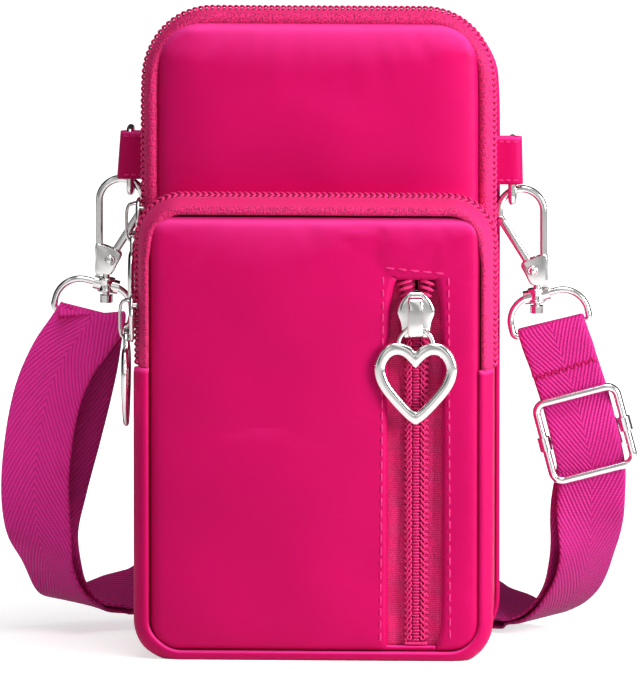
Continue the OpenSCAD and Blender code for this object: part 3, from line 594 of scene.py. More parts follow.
def soft_noise(seed, size):
    """A smooth seeded surface of waves, about -1 to 1, over x and z in millimetres."""
    local = np.random.default_rng(seed)
    turn = local.uniform(0, TAU, WAVES)
    frequency = local.uniform(0.5, 1.6, WAVES) / size
    phase = local.uniform(0, TAU, WAVES)

    def height(x, z):
        total = 0
        for t, f, p in zip(turn, frequency, phase):
            total = total + np.sin(TAU * f * (x * math.cos(t) + z * math.sin(t)) + p)
        return total / math.sqrt(WAVES)

    return height


def reshaping(change):
    """Makes a change of points into a change of a whole made mesh."""
    def changed(made):
        points = np.array(made[0], float)
        change(points)
        return (points, *made[1:])

    return changed


# Depths of the pouch, in millimetres
FRONT_Y = -25.0
PANEL_T = 2.4
MAIN_Y = -3.0
BACK_Y = 25.0
BACK_INNER_Y = 22.6
MAIN_ZIP_Y = 0.5
POCKET_ZIP_Y = -17.8
MAIN_BEND = 7.5
MAIN_R = 13.0
POCKET_R = 14.0
MAIN_PANEL_A = 7.55
POCKET_PANEL_A = 8.65
MAIN_WALL_Y = 5.95
POCKET_WALL_Y = -12.5
POCKET_FLOOR_Y = -19.8
COIL_R = 1.05

# Padded panels, with the slot for the vertical zip: x0, x1, z0, z1
ZIP_X = 29.5
SLOT = (21.1, 37.2, 4.5, 112.5)
SLOT_X0, SLOT_X1, SLOT_Z0, SLOT_Z1 = SLOT
POCKET_SHAPE = (CORNER_X + POCKET_PANEL_A + 0.5, BASE_Z - POCKET_PANEL_A + 0.1,
                POCKET_TOP + POCKET_PANEL_A - 1.2, POCKET_PANEL_A - 0.1, 5.0)
UPPER_SHAPE = (CORNER_X + MAIN_PANEL_A + 0.5, BASE_Z - MAIN_PANEL_A - 0.5, MAIN_TOP + MAIN_PANEL_A + 0.9,
               MAIN_PANEL_A + 0.5, 11.5)
REAR_SHAPE = (CORNER_X + WALL_A, BASE_Z - WALL_A, MAIN_TOP + WALL_A, WALL_A, WALL_A + MAIN_BEND)
HELD_EDGE = 0.8
HELD_SLOT = 2.2
UPPER_FREE_FROM = 112.0
POCKET_PUFF = 1.9
UPPER_PUFF = 3.2
FINE = (0.0, 0.35, 0.8, 1.4, 2.2, 3.2)
pocket_waves = soft_noise(3, 46)
upper_waves = soft_noise(5, 40)
rear_waves = soft_noise(9, 60)

# The cloth of the front panels is solved at a larger scale
CLOTH_SCALE = 10.0
CLOTH_FRAMES = 24
CLOTH_SLACK = 0.03
CLOTH = {
    "quality": 6, "mass": 0.3, "tension_stiffness": 12, "compression_stiffness": 12, "shear_stiffness": 6,
    "bending_stiffness": 1.2, "vertex_group_mass": "held", "shrink_min": -CLOTH_SLACK,
    "shrink_max": -CLOTH_SLACK, "use_pressure": True, "uniform_pressure_force": 5.0,
}


def edge_of_slot(x, z):
    """Distance outward from the zip's slot."""
    return outside_by(np.abs(x - (SLOT_X0 + SLOT_X1) / 2) - (SLOT_X1 - SLOT_X0) / 2,
                      np.abs(z - (SLOT_Z0 + SLOT_Z1) / 2) - (SLOT_Z1 - SLOT_Z0) / 2)


def cloth_relief(xs, zs, held, seed):
    """Outward height, in millimetres, of cloth blown up between its held points."""
    gx, gz, faces = grid_of(xs, zs)
    pinned = held(gx, gz)
    start = 0.35 + 0.3 * soft_noise(seed, 34)(gx, gz)
    start[pinned] = 0
    scale = MM * CLOTH_SCALE
    mesh = bpy.data.meshes.new("relief")
    mesh.from_pydata((spots(gx, -start, gz) * scale).tolist(), [], faces)
    made = bpy.data.objects.new("relief", mesh)
    scene.collection.objects.link(made)
    pins = made.vertex_groups.new(name="held")
    pins.add([int(i) for i in np.nonzero(pinned)[0]], 1.0, "REPLACE")
    cloth = made.modifiers.new("cloth", "CLOTH")
    for key, value in CLOTH.items():
        setattr(cloth.settings, key, value)
    cloth.settings.effector_weights.gravity = 0
    cloth.point_cache.frame_start = 1
    cloth.point_cache.frame_end = CLOTH_FRAMES
    for number in range(1, CLOTH_FRAMES + 1):
        scene.frame_set(number)
    solved = made.evaluated_get(bpy.context.evaluated_depsgraph_get())
    heights = np.array([-v.co.y / scale for v in solved.data.vertices]).reshape(len(zs), len(xs))
    bpy.data.objects.remove(made)
    scene.frame_set(1)
    return heights


def sampled(xs, zs, heights, x, z):
    """Heights between the grid's points."""
    i = np.clip(np.searchsorted(zs, z) - 1, 0, len(zs) - 2)
    j = np.clip(np.searchsorted(xs, x) - 1, 0, len(xs) - 2)
    u = np.clip((x - xs[j]) / (xs[j + 1] - xs[j]), 0, 1)
    v = np.clip((z - zs[i]) / (zs[i + 1] - zs[i]), 0, 1)
    return ((heights[i, j] * (1 - u) + heights[i, j + 1] * u) * (1 - v)
            + (heights[i + 1, j] * (1 - u) + heights[i + 1, j + 1] * u) * v)


def panel_relief(shape, low, also_held, seed, limit):
    """The blown-up height of one panel, no more than limit, as a function of x and z. The cloth is held along
    its edge and where also_held says."""
    xs = np.linspace(-shape[0], shape[0], 45)
    zs = np.linspace(low, shape[2], int((shape[2] - low) / 2.2) + 1)

    def held(x, z):
        return (distance_inside(x, z, shape) < HELD_EDGE) | also_held(x, z)

    heights = np.maximum(cloth_relief(xs, zs, held, seed), 0)
    heights = limit * heights / max(float(np.percentile(heights, 98)), 0.1)
    return lambda x, z: sampled(xs, zs, heights, x, z)


pocket_relief = panel_relief(
    POCKET_SHAPE, POCKET_SHAPE[1], lambda x, z: edge_of_slot(x, z) < HELD_SLOT, 31, POCKET_PUFF,
)
upper_relief = panel_relief(
    UPPER_SHAPE, UPPER_FREE_FROM, lambda x, z: z < UPPER_FREE_FROM + 2, 33, UPPER_PUFF,
)


def pocket_face(x, z):
    """Depth of the lower front panel's padded face."""
    d = np.maximum(distance_inside(x, z, POCKET_SHAPE), 0)
    e = np.maximum(edge_of_slot(x, z), 0)
    top = POCKET_SHAPE[2]
    crown = pocket_relief(x, z) + 0.5 * rising(d, 3) + 0.3 * np.exp(-((top - 7 - z) / 9) ** 2)
    roll = 1.7 * np.exp(-d / 0.8)
    fold = 1.1 * np.exp(-(e / 0.6) ** 2)
    waves = pocket_waves(x, z) * 0.2 * rising(d, 8) * rising(e, 6)
    return FRONT_Y - crown - waves + roll + fold


def upper_face(x, z):
    d = np.maximum(distance_inside(x, z, UPPER_SHAPE), 0)
    above = 1 / (1 + np.exp(-(z - 124) / 3))
    top = UPPER_SHAPE[2]
    crown = (upper_relief(x, z) + 0.8 * rising(d, 3) + 0.8 * np.exp(-((top - 8 - z) / 9) ** 2)) * above
    waves = upper_waves(x, z) * 0.3 * rising(d, 8) * above
    return MAIN_Y - crown - waves + 1.5 * np.exp(-d / 0.8)


def rear_face(x, z):
    d = np.maximum(distance_inside(x, z, REAR_SHAPE), 0)
    return BACK_Y + 1.6 * rising(d, 8) + rear_waves(x, z) * 0.4 * rising(d, 9) - 1.3 * np.exp(-d / 0.8)


def drawn_in(x, z):
    """The fold round the slot is drawn in at its ends."""
    up = np.exp(-np.maximum(SLOT_Z1 - z, 0) / 7) * np.exp(-np.maximum(z - SLOT_Z1, 0) / 2.5)
    down = np.exp(-np.maximum(z - SLOT_Z0, 0) / 3.5)
    x = x + 2.6 * up * np.exp(-np.abs(x - SLOT_X0) / 3) * (x <= SLOT_X0 + 0.01)
    x = x - 2.2 * up * np.exp(-np.abs(x - SLOT_X1) / 3) * (x >= SLOT_X1 - 0.01)
    return x - 2.0 * down * np.exp(-np.abs(x - SLOT_X1) / 3) * (x >= SLOT_X1 - 0.01)


def inset(low, high, steps=FINE):
    """Grid lines close together inside both edges."""
    return [low + f for f in steps] + [high - f for f in steps]


def panel(shape, xs, zs, face, back_y, hole=None):
    """A closed padded panel over grid lines at xs and zs; face gives the depth of its outer side."""
    xs, zs = (np.array(sorted({round(v, 3) for v in lines})) for lines in (xs, zs))
    x, z, faces = grid_of(xs, zs, hole)
    x, z = rounded(x, z, shape)
    y = face(x, z)
    if hole:
        x = drawn_in(x, z)
    return without_strays(*closed_shell(spots(x, y, z), spots(x, back_y, z), faces))


def pocket_panel():
    edge_x, z0, z1 = POCKET_SHAPE[:3]
    xs = [*inset(-edge_x, edge_x), *inset(SLOT_X1, SLOT_X0), *cuts(-edge_x + 4.6, SLOT_X0 - 4.6, step=1.9),
          *cuts(SLOT_X0, SLOT_X1, step=1.5), *cuts(SLOT_X1 + 4.2, edge_x - 4.2, step=1.6)]
    zs = [*[z0 + f for f in FINE[::2]], *[z1 - f for f in FINE], SLOT_Z0, *[SLOT_Z1 + f for f in FINE],
          *cuts(SLOT_Z0 + 1.5, SLOT_Z1 - 8, step=1.9), *cuts(SLOT_Z1 - 7, SLOT_Z1, step=0.7),
          *cuts(SLOT_Z1 + 4.6, z1 - 4.6, step=1.5)]
    return panel(POCKET_SHAPE, xs, zs, pocket_face, FRONT_Y + PANEL_T, SLOT)


def upper_panel():
    edge_x, z0, z1 = UPPER_SHAPE[:3]
    xs = [*inset(-edge_x, edge_x), *cuts(-edge_x + 4.6, edge_x - 4.6, step=1.8)]
    zs = [*[z0 + f for f in FINE[::2]], *[z1 - f for f in FINE], *cuts(z0 + 5, ZIP_END, step=8),
          *cuts(ZIP_END, z1 - 4.6, step=1.8)]
    return panel(UPPER_SHAPE, xs, zs, upper_face, MAIN_Y + PANEL_T)


def rear_panel():
    edge_x, z0, z1 = REAR_SHAPE[:3]
    steps = (*FINE, 4.6, 6.4)
    xs = [*inset(-edge_x, edge_x, steps), *cuts(8.4 - edge_x, edge_x - 8.4, step=2.3)]
    zs = [*inset(z0, z1, steps), *cuts(z0 + 8.4, z1 - 8.4, step=2.3)]
    return panel(REAR_SHAPE, xs, zs, rear_face, BACK_INNER_Y)


# How the soft shapes give: share of the width that the top leans in, sag of the back and its share, bulge
LEAN = 0.013
LEAN_FROM = 160
SAG = 3.9
SAG_IN = 0.012
BULGE = 1.2
TABLE_GAP = 0.02


def lean(points):
    """The main compartment's sides lean inward a little at the top, above the slider's run."""
    points[:, 0] *= 1 - LEAN * eased((points[:, 2] - LEAN_FROM) / 22)


leaning = reshaping(lean)


@reshaping
def sagged(points):
    """The upper edge of the back hangs a little lower than the zip in front of it."""
    drop = eased((points[:, 1] - 2) / 20) * eased((points[:, 2] - 150) / 35)
    points[:, 2] -= SAG * drop
    points[:, 0] *= 1 - SAG_IN * drop
    lean(points)


@reshaping
def fuller(points):
    """The pocket's lower left side bulges a little."""
    points[:, 0] -= BULGE * eased((-points[:, 0] - 44) / 6) * eased((92 - points[:, 2]) / 8)


@reshaping
def grounded(points):
    """Keeps everything above the table."""
    points[:, 2] = np.maximum(points[:, 2], TABLE_GAP)


@reshaping
def squeezed(points):
    """The pocket's band is narrower down the sides than over the top."""
    a = np.abs(points[:, 0]) - CORNER_X
    side = (1 - eased((points[:, 2] - 116) / 10)) * (a > 5)
    points[:, 0] += np.sign(points[:, 0]) * side * (POCKET_BAND[-1][0] - a) * 0.28


piece("pocket_front_panel_shell", pocket_panel(), shell_mat, "pocket_front_panel")
piece("upper_front_panel_shell", leaning(upper_panel()), shell_mat, "main_front_panel")
piece("back_panel_shell", sagged(rear_panel()), shell_mat, "back_panel")

# Side walls: above the zips' ends they reach only to the rear tapes
main_arch = stations(ZIP_END, MAIN_TOP, False, bend=MAIN_BEND)
main_cradle = under(stations(ZIP_END, 2 * ZIP_END - BASE_Z, False), ZIP_END)
pocket_arch = stations(ZIP_END, POCKET_TOP, False)
WALL_T = 1.5


def wall_profile(y0, y1, bulge):
    ys = np.linspace(y0, y1, 9)
    f = (ys - y0) / (y1 - y0)
    outer = WALL_A + bulge * 4 * f * (1 - f)
    return np.vstack([np.stack([outer, ys], 1), np.stack([outer[::-1] - WALL_T, ys[::-1]], 1)])


piece("main_side_wall", sagged(join([
    sweep(main_arch, wall_profile(MAIN_WALL_Y, BACK_INNER_Y, 0.7)),
    grounded(sweep(main_cradle, wall_profile(MAIN_Y + PANEL_T, BACK_INNER_Y, 0.5))),
])), shell_mat, "main_gusset")
piece("pocket_side_wall", fuller(join([
    sweep(pocket_arch, wall_profile(POCKET_WALL_Y, MAIN_Y, 0.5)),
    grounded(sweep(main_cradle, wall_profile(POCKET_FLOOR_Y, MAIN_Y, 0.5))),
])), shell_mat, "pocket_gusset")

# Rolled edge round the lower front, below the ends of the pocket's zip
ROLL = [(8.9, -22.9), (8.75, -24.4), (9.3, -25.15), (10.5, -24.9), (12.2, -23.4), (12.95, -21.6),
        (12.5, -20.1), (11.2, -19.9)]
piece("pocket_rolled_edge", fuller(grounded(sweep(main_cradle, smooth_line(ROLL, 3)))), edge_mat,
      "pocket_edge_roll")

# Piping round the back panel, with a tail under each lower corner
PIPING_A = 12.45
PIPING_R = 0.85
rows = stations(BASE_Z, MAIN_TOP, False, bend=MAIN_BEND)
middle = rows[:, :2] + rows[:, 2:4] * PIPING_A
rim_line = spots(middle[:, 0], BACK_INNER_Y, middle[:, 1])
turn = np.radians(np.linspace(0, 58, 9))[1:]
tail = spots(CORNER_X + PIPING_A * np.cos(turn), BACK_INNER_Y, BASE_Z - PIPING_A * np.sin(turn))
rim_line = np.vstack([tail[::-1], rim_line, tail * (-1, 1, 1)])
piece("back_piping_cord", sagged(tube(rim_line, PIPING_R, 10)), edge_mat, "back_piping")

# Woven bands of the two zips, seen from the front, and the tapes behind the coils
POCKET_BAND = [(8.5, -22.2), (8.15, -23.7), (8.9, -25.1), (10.5, -24.7), (12.0, -22.2), (12.85, -19.0)]
MAIN_BAND = [(8.0, -0.9), (8.1, -2.0), (8.9, -2.9), (10.1, -3.0), (11.3, -2.1), (11.95, -0.7)]
REAR_TAPE_BACK = 2.55
piece("pocket_zip_band", squeezed(sweep(pocket_arch, band(POCKET_BAND))), tape_mat, "pocket_zip_tape_front")
piece("main_zip_band", leaning(sweep(main_arch, band(MAIN_BAND))), tape_mat, "main_zip_tape_front")


def rear_tape(rim, zip_y, y1):
    y0 = zip_y + REAR_TAPE_BACK
    return band([(rim - COIL_R, y0), (rim - COIL_R - 0.1, y0 + 0.7), (WALL_A + 0.2, y1 - 0.6), (WALL_A, y1)])


piece("pocket_zip_rear_tape", sweep(pocket_arch, rear_tape(POCKET_R, POCKET_ZIP_Y, POCKET_WALL_Y)), tape_mat,
      "pocket_zip_tape_rear")
piece("main_zip_rear_tape", sagged(sweep(main_arch, rear_tape(MAIN_R, MAIN_ZIP_Y, MAIN_WALL_Y))), tape_mat,
      "main_zip_tape_rear")

# Coils: the closed teeth show as a chain of chevrons on the rim's front upper edge.
# Points of one arm: along the rim, across it and outward
ARM = np.array([(1.0, 1.3, -0.75), (0.6, 1.1, -0.1), (0.05, 0.62, 0.3), (-0.5, 0.2, 0.25),
                (-0.85, -0.05, -0.2)])
CHEVRON_PITCH = 1.75
CHEVRON_WIRE = 0.42
CHEVRON_FROM = 1.2
DIAGONAL = math.sqrt(0.5)


def chevrons(rows, rim, y, half):
    """One arm of every chevron: half is -1 for the front arms and 1 for the rear ones."""
    s = rows[:, 4]
    parts = []
    for start in np.arange(CHEVRON_FROM, s[-1] - CHEVRON_FROM, CHEVRON_PITCH):
        base = np.stack([np.interp(start + ARM[:, 0], s, rows[:, c]) for c in range(4)], 1)
        n = unit(spots(base[:, 2], 0.0, base[:, 3]))
        face = (n + (0, -1, 0)) * DIAGONAL
        cross = (n + (0, 1, 0)) * DIAGONAL
        centre = spots(base[:, 0], y, base[:, 1]) + n * (rim - COIL_R + 0.15)
        line = centre + cross * (half * ARM[:, 1:2]) + face * ARM[:, 2:3]
        parts.append(tube(line, CHEVRON_WIRE, 6, up=tuple(face[2])))
    return join(parts)


def as_made(made):
    return made


for label, rows, rim, zip_y, change in (
    ("pocket", pocket_arch, POCKET_R, POCKET_ZIP_Y, as_made),
    ("main", main_arch, MAIN_R, MAIN_ZIP_Y, leaning),
):
    for name, side in (("front", -1), ("rear", 1)):
        piece(f"{label}_zip_coil_{name}_arms", change(chevrons(rows, rim, zip_y, side)), coil_mat,
              f"{label}_zip_coil_{name}")
    # The dark core is painted shade in the gap between the teeth
    core = [(rim - COIL_R - 0.55 + 0.85 * math.cos(k), zip_y + 0.5 + 1.6 * math.sin(k)) for k in angles(12)]
    piece(f"{label}_zip_coil_core", change(sweep(rows, core)), coil_core_shade_mat)

# The vertical zip in the front panel: crossing teeth, a braid over each side and slanted loops outside it
FRONT_COIL_Y = -23.55
FRONT_PITCH = 1.77
FRONT_TAPE_Y = -22.5
FRONT_TAPE_T = 0.6
OPEN_TEETH = (104.6, 113.2)
CLOSED_TEETH = (6.4, 104.2)
BRAID = (6.2, 104.4)
PARTS_FROM = 104
PARTING = 1.9
BED_X = 1.9
UPRIGHT = (0, 0, 1)


def parted(z):
    """How far each half stands away from the middle, above the slider."""
    return PARTING * eased((z - PARTS_FROM) / 7)


def front_zip_side(side):
    def put(x, y, z):
        x, y, z = (np.asarray(values, float) for values in (x, y, z))
        return spots(ZIP_X + side * (x + parted(z)), FRONT_COIL_Y + y, z)

    parts = []
    for z in np.arange(*OPEN_TEETH, FRONT_PITCH):
        open_tooth = put([-0.55, -0.1, 1.4, 2.9, 3.6], [0.2, -0.5, -0.75, -0.45, 0.3],
                         [z + 0.5, z + 0.45, z + 0.1, z - 0.45, z - 0.75])
        parts.append(tube(open_tooth, 0.52, 7, up=UPRIGHT, radii=[0.4, 0.52, 0.52, 0.48, 0.3]))
    slant, thick = (0.5, 0.44) if side > 0 else (-0.5, 0.32)
    first, last = CLOSED_TEETH
    for z in np.arange(first + (FRONT_PITCH / 2 if side > 0 else 0), last, FRONT_PITCH):
        reach = -1.0 if z < 103 else -0.5
        tooth = put([reach, reach + 0.4, 0.5, 1.25], [-0.15, -0.45, -0.5, -0.1], z)
        parts.append(tube(tooth, 0.36, 6, up=UPRIGHT, radii=[0.22, 0.38, 0.36, 0.3]))
        loop = put([2.6, 3.05, 3.5], [-0.35, -0.25, 0.35], [z + slant, z, z - slant])
        parts.append(tube(loop, thick, 6, radii=[thick * 0.7, thick, thick * 0.6]))
    z = np.arange(*BRAID, 0.24)
    for phase in (0, math.pi):
        turn = math.pi * z / FRONT_PITCH + phase
        parts.append(tube(put(2.0 + 0.58 * np.cos(turn), -0.45 - 0.22 * np.sin(turn), z), 0.31, 6))
    return join(parts)


for name, side in SIDES:
    piece(f"front_zip_coil_{name}_turns", front_zip_side(side), coil_mat, f"front_zip_coil_{name}")
    # The dark core under the teeth is painted shade in the gaps between them
    bed_z = np.linspace(6, 112, 40)
    bed_x = ZIP_X + side * BED_X + side * parted(bed_z)
    piece(f"front_zip_coil_{name}_core", tube(spots(bed_x, FRONT_COIL_Y + 0.35, bed_z), 1.0), coil_core_shade_mat)
    xs = np.concatenate([[0.45, 2.2, 3.3], np.linspace(3.9, 10.4, 14)])
    gx, gz, faces = grid_of(xs, np.linspace(4.1, 118.5, 100))
    wave = 0.28 * soft_noise(21 + side, 17)(gx * 2.0, gz) * eased((gx - 3.5) / 2) * eased((10.4 - gx) / 2)
    front = spots(ZIP_X + side * gx, FRONT_TAPE_Y + wave, gz)
    faces = faces if side > 0 else [f[::-1] for f in faces]
    points, faces = closed_shell(front, front + (0, FRONT_TAPE_T, 0), faces)
    uv = np.stack([np.tile(gz, 2), np.tile(gx, 2)], 1)
    piece(f"front_zip_tape_{name}_weave", (points, faces, uv), inner_tape_mat, f"front_zip_tape_{name}")

# Thread tacks at the zip's ends
for name, node, z, half in (
    ("front_zip_bottom_tack", "front_zip_bottom_stop", 5.3, 3.2),
    ("front_zip_top_tack", "front_zip_top_stops", 113.4, 4.6),
):
    ends = np.linspace(-half, half, 15)
    line = spots(ZIP_X + ends, FRONT_COIL_Y - 0.1 + 0.12 * np.cos(ends * 5), z)
    piece(name, tube(line, 0.5, up=UPRIGHT), stitch_mat, node)

# Stitches of the frame round the vertical zip, each in its own small dent: start, end and count of each seam
FRAME_SEAMS = (
    ((19.1, 6.0), (19.95, 114.6), 30),
    ((20.6, 116.2), (38.6, 114.4), 5),
    ((39.0, 113.4), (39.5, 6.0), 30),
)
STITCH_SHARE = 0.74
STITCH_BOW = np.array([0.34, 0.05, -0.08, -0.12, -0.08, 0.05, 0.34])
frame_seam = []
for start, end, count in FRAME_SEAMS:
    for k in range(count):
        f = np.linspace(k, k + STITCH_SHARE, 7) / count
        x = start[0] + (end[0] - start[0]) * f
        z = start[1] + (end[1] - start[1]) * f
        frame_seam.append(tube(spots(x, pocket_face(x, z) + STITCH_BOW, z), 0.27, 6))
piece("front_zip_frame_stitches", join(frame_seam), stitch_mat)


# Linings
def box_shell(x0, x1, y0, y1, z0, z1, t):
    """An open-fronted thin box."""
    def corners(x0, x1, y1, z0, z1):
        return [(x, y, z) for z in (z0, z1) for x, y in ((x0, y0), (x1, y0), (x1, y1), (x0, y1))]

    faces = [(0, 3, 2, 1), (1, 2, 6, 5), (2, 3, 7, 6), (3, 0, 4, 7), (4, 5, 6, 7)]
    faces += [tuple(i + 8 for i in f[::-1]) for f in faces]
    faces += [(0, 1, 9, 8), (1, 5, 13, 9), (5, 4, 12, 13), (4, 0, 8, 12)]
    points = corners(x0, x1, y1, z0, z1) + corners(x0 + t, x1 - t, y1 - t, z0 + t, z1 - t)
    return np.array(points, float), faces


BAG = (16.1, 42.9, -21.9, -14.5, 3.6, 120)
LINING_T = 0.5
LINING_A = 9.95
LINING_BACK_Y = 22.5
piece("front_zip_bag_lining", box_shell(*BAG, LINING_T), lining_mat, "front_zip_bag", smooth=False)
lining_wall = [(LINING_A - LINING_T, MAIN_WALL_Y), (LINING_A, MAIN_WALL_Y), (LINING_A, LINING_BACK_Y),
               (LINING_A - LINING_T, LINING_BACK_Y)]
lining_back = [(side * (CORNER_X + 3), y, z) for y in (22.05, LINING_BACK_Y)
               for side, z in ((-1, BASE_Z - 6), (1, BASE_Z - 6), (1, MAIN_TOP - 1), (-1, MAIN_TOP - 1))]
slab_faces = [(0, 1, 2, 3), (7, 6, 5, 4), (0, 4, 5, 1), (1, 5, 6, 2), (2, 6, 7, 3), (3, 7, 4, 0)]
piece("main_compartment_lining", sagged(join([
    sweep(stations(BASE_Z, MAIN_TOP, True, bend=MAIN_BEND), lining_wall, closed_path=True),
    (lining_back, slab_faces, np.zeros((8, 2))),
])), lining_mat, "main_lining", smooth=False)

# Fabric tabs that hold the rings; each fold ends at its own width and height
TAB_X = 50.7
TAB_Z = 142.4
TAB_Y = 15.4
TAB_HALF = 1.35
LIFT = 1.2
TAB_SPANS = {"left": (-7.0, 7.0, 1.13, 1.0), "right": (-5.6, 8.4, 1.06, 1.02)}
TAB_OUTER = there_and_back([(TAB_X, -TAB_HALF - 0.75), (53.5, -TAB_HALF - 0.7), (56.6, -TAB_HALF - 0.75),
                            (58.2, -TAB_HALF * 0.6 - 0.7)], (58.8, 0))
TAB_INNER = there_and_back([(TAB_X, TAB_HALF), (53.5, TAB_HALF - 0.05), (56.6, TAB_HALF),
                            (57.5, TAB_HALF * 0.5)], (57.9, 0))
for name, side in SIDES:
    low, high, wide_low, wide_high = TAB_SPANS[name]
    middle_z = TAB_Z - side * LIFT
    zs = np.linspace(low, high, 15)
    outline = np.vstack([smooth_line(TAB_OUTER, 3), smooth_line(TAB_INNER, 3)])
    points = np.concatenate([
        spots(
            side * (TAB_X + (outline[:, 0] - TAB_X) * wider),
            TAB_Y + outline[:, 1] * (1 - 0.06 * (abs(z - zs.mean()) / 7) ** 4),
            middle_z + z,
        )
        for z, wider in zip(zs, np.linspace(wide_low, wide_high, len(zs)))
    ])
    piece(f"tab_{name}_fold", (points, pipe_faces(len(zs), len(outline))), edge_mat, f"tab_{name}")
    seams = []
    for row in (zs[0] + 1.3, zs[-1] - 1.3):
        for k in range(3):
            xs = np.linspace(52.0 + k * 2.1, 53.5 + k * 2.1, 5)
            depth = TAB_Y - 2.08 + np.array([0.25, 0.02, -0.06, 0.02, 0.25])
            seams.append(tube(spots(side * xs, depth, middle_z + row), 0.22, 6, up=UPRIGHT))
    piece(f"tab_{name}_stitches", join(seams), stitch_mat)

# Sliders and heart pulls, drawn at the coils' middle with the outside towards -Y.
# The plate's half width by the distance from its top, and the bridge's path of (z, y)
HINGE_Y = 3.4
HINGE_Z = -3.6
SLIDER_HALF = 6.85
SLIDER_L = 2 * SLIDER_HALF
SHAPE = [(0, 1.2), (0.2, 2.0), (0.7, 2.9), (1.6, 3.7), (2.6, 4.45), (3.6, 5.0), (4.7, 5.4), (5.8, 5.56),
         (6.8, 5.42), (7.8, 5.05), (8.8, 4.68), (9.8, 4.45), (10.8, 4.32), (12.5, 4.22), (13.2, 3.95),
         (13.55, 3.5), (13.7, 2.9)]
BRIDGE_PATH = [(5.2, -1.9), (5.15, -3.4), (4.5, -4.7), (2.6, -5.25), (-0.6, -5.35), (-3.6, -5.25),
               (-5.3, -4.7), (-6.0, -3.5), (-6.05, -1.9)]


def slider_plate(outer, inner, half_limit, puff):
    """A plate between two depths; its outer face is pillowed by puff."""
    depths = np.concatenate([[0, 0.12], np.linspace(0.35, 13.35, 34), [13.55, SLIDER_L]])
    curve = smooth_line(SHAPE, 6)
    half = np.minimum(np.interp(depths, curve[:, 0], curve[:, 1]), half_limit)
    u = np.array([-1, -0.97, -0.9, -0.75, -0.5, -0.25, 0, 0.25, 0.5, 0.75, 0.9, 0.97, 1])
    x = half[:, None] * u[None, :]
    near_end = np.minimum(depths, SLIDER_L - depths)[:, None]
    rim = np.minimum(near_end, half[:, None] * (1 - np.abs(u))[None, :])
    away = -1 if outer < inner else 1
    y = outer + away * (puff * rising(rim, 1.2) - 0.5 * np.exp(-rim / 0.22))
    front = spots(x, y, (SLIDER_HALF - depths)[:, None])
    back = front.copy()
    back[:, 1] = inner
    return closed_shell(front, back, grid_faces(len(depths), len(u)))


def blunted(values, power):
    """Cosines or sines of a ring pulled outward, so that the ring has flat sides."""
    return np.sign(values) * np.abs(values) ** power


def bar(path, half_w, half_t):
    """A flat bar with rounded edges bent along a path of (z, y)."""
    line = smooth_line(path, 5)
    k = angles(24)
    w = half_w * blunted(np.cos(k), 0.5)
    h = half_t * blunted(np.sin(k), 0.85)
    spot = line[:, None, :] + beside(line)[:, None, :] * h[None, :, None]
    return spots(w, spot[..., 1], spot[..., 0]), pipe_faces(len(line), len(k))


def rod(line, half_plane, half_depth):
    """A bar with rounded edges along points of (x, z)."""
    line = np.asarray(line, float)
    k = angles(24)
    flat = half_plane * blunted(np.cos(k), 0.62)
    deep = half_depth * blunted(np.sin(k), 0.62)
    spot = line[:, None, :] + beside(line)[:, None, :] * flat[None, :, None]
    return spots(spot[..., 0], deep, spot[..., 1]), pipe_faces(len(line), len(k))


def slider_body(inner_half):
    return join([
        slider_plate(-2.3, -1.35, 9, 0.35),
        slider_plate(2.75, 1.95, inner_half, 0.1),
        bar([(3.6, -1.6), (3.6, 0.3), (3.6, 2.2)], 0.45, 0.6),
        bar(BRIDGE_PATH, 2.2, 0.46),
    ])


# The left halves of the heart's outer and inner edges, in millimetres from the middle of its bail
LEFT_RIGHT = (-1, 1)
HEART = [(0, -6.6), *there_and_back([
    (-1.2, -5.5), (-3.2, -4.6), (-5.6, -4.2), (-8.2, -4.8), (-10.4, -6.8), (-11.8, -9.6), (-12.2, -12.4),
    (-11.5, -15.8), (-9.7, -19.1), (-6.3, -23.2), (-3.0, -26.6), (-0.9, -28.2)], (0, -28.5), LEFT_RIGHT)]
HEART_IN = [(0, -11.8), *there_and_back([
    (-1.6, -10.3), (-3.3, -8.7), (-5.0, -8.0), (-6.6, -8.3), (-7.8, -9.4), (-8.6, -11.0), (-8.8, -12.4),
    (-8.2, -14.6), (-7.0, -17.0), (-4.4, -20.2), (-2.0, -22.9), (-0.6, -24.1)], (0, -24.4), LEFT_RIGHT)]
HEART_T = 2.2
BAIL_R = 5.1
BAIL_WIRE = 0.75


def round_line(points, each):
    p = np.asarray(points, float)
    return smooth_line(np.vstack([p[-2:], p, p[:3]]), each)[2 * each:(len(p) + 2) * each]


def heart_pull():
    outer = round_line(HEART, 5)
    inner = round_line(HEART_IN, 5)
    middle = (outer + inner) / 2
    half = (outer - inner) / 2
    ring = angles(20)
    across = blunted(np.cos(ring), 0.8)
    depth = np.sin(ring) * np.where(np.sin(ring) < 0, 1.0, 0.75)
    flat = middle[:, None, :] + half[:, None, :] * across[None, :, None]
    heart = (spots(flat[..., 0], depth * HEART_T / 2, flat[..., 1]),
             grid_faces(len(middle), len(ring), True, True))
    a = np.radians(np.linspace(-6, 186, 40))
    bail = spots(BAIL_R * np.cos(a), 0.0, BAIL_R * np.sin(a) - BAIL_R)
    return join([heart, tube(bail, BAIL_WIRE, 14)[:2]])


def facing(made, place, sideways):
    """Moves a slider or pull to its place; sideways turns its outside towards -X."""
    points = np.asarray(made[0], float)
    if sideways:
        points = spots(points[:, 1], -points[:, 0], points[:, 2])
    return (points + place, made[1])


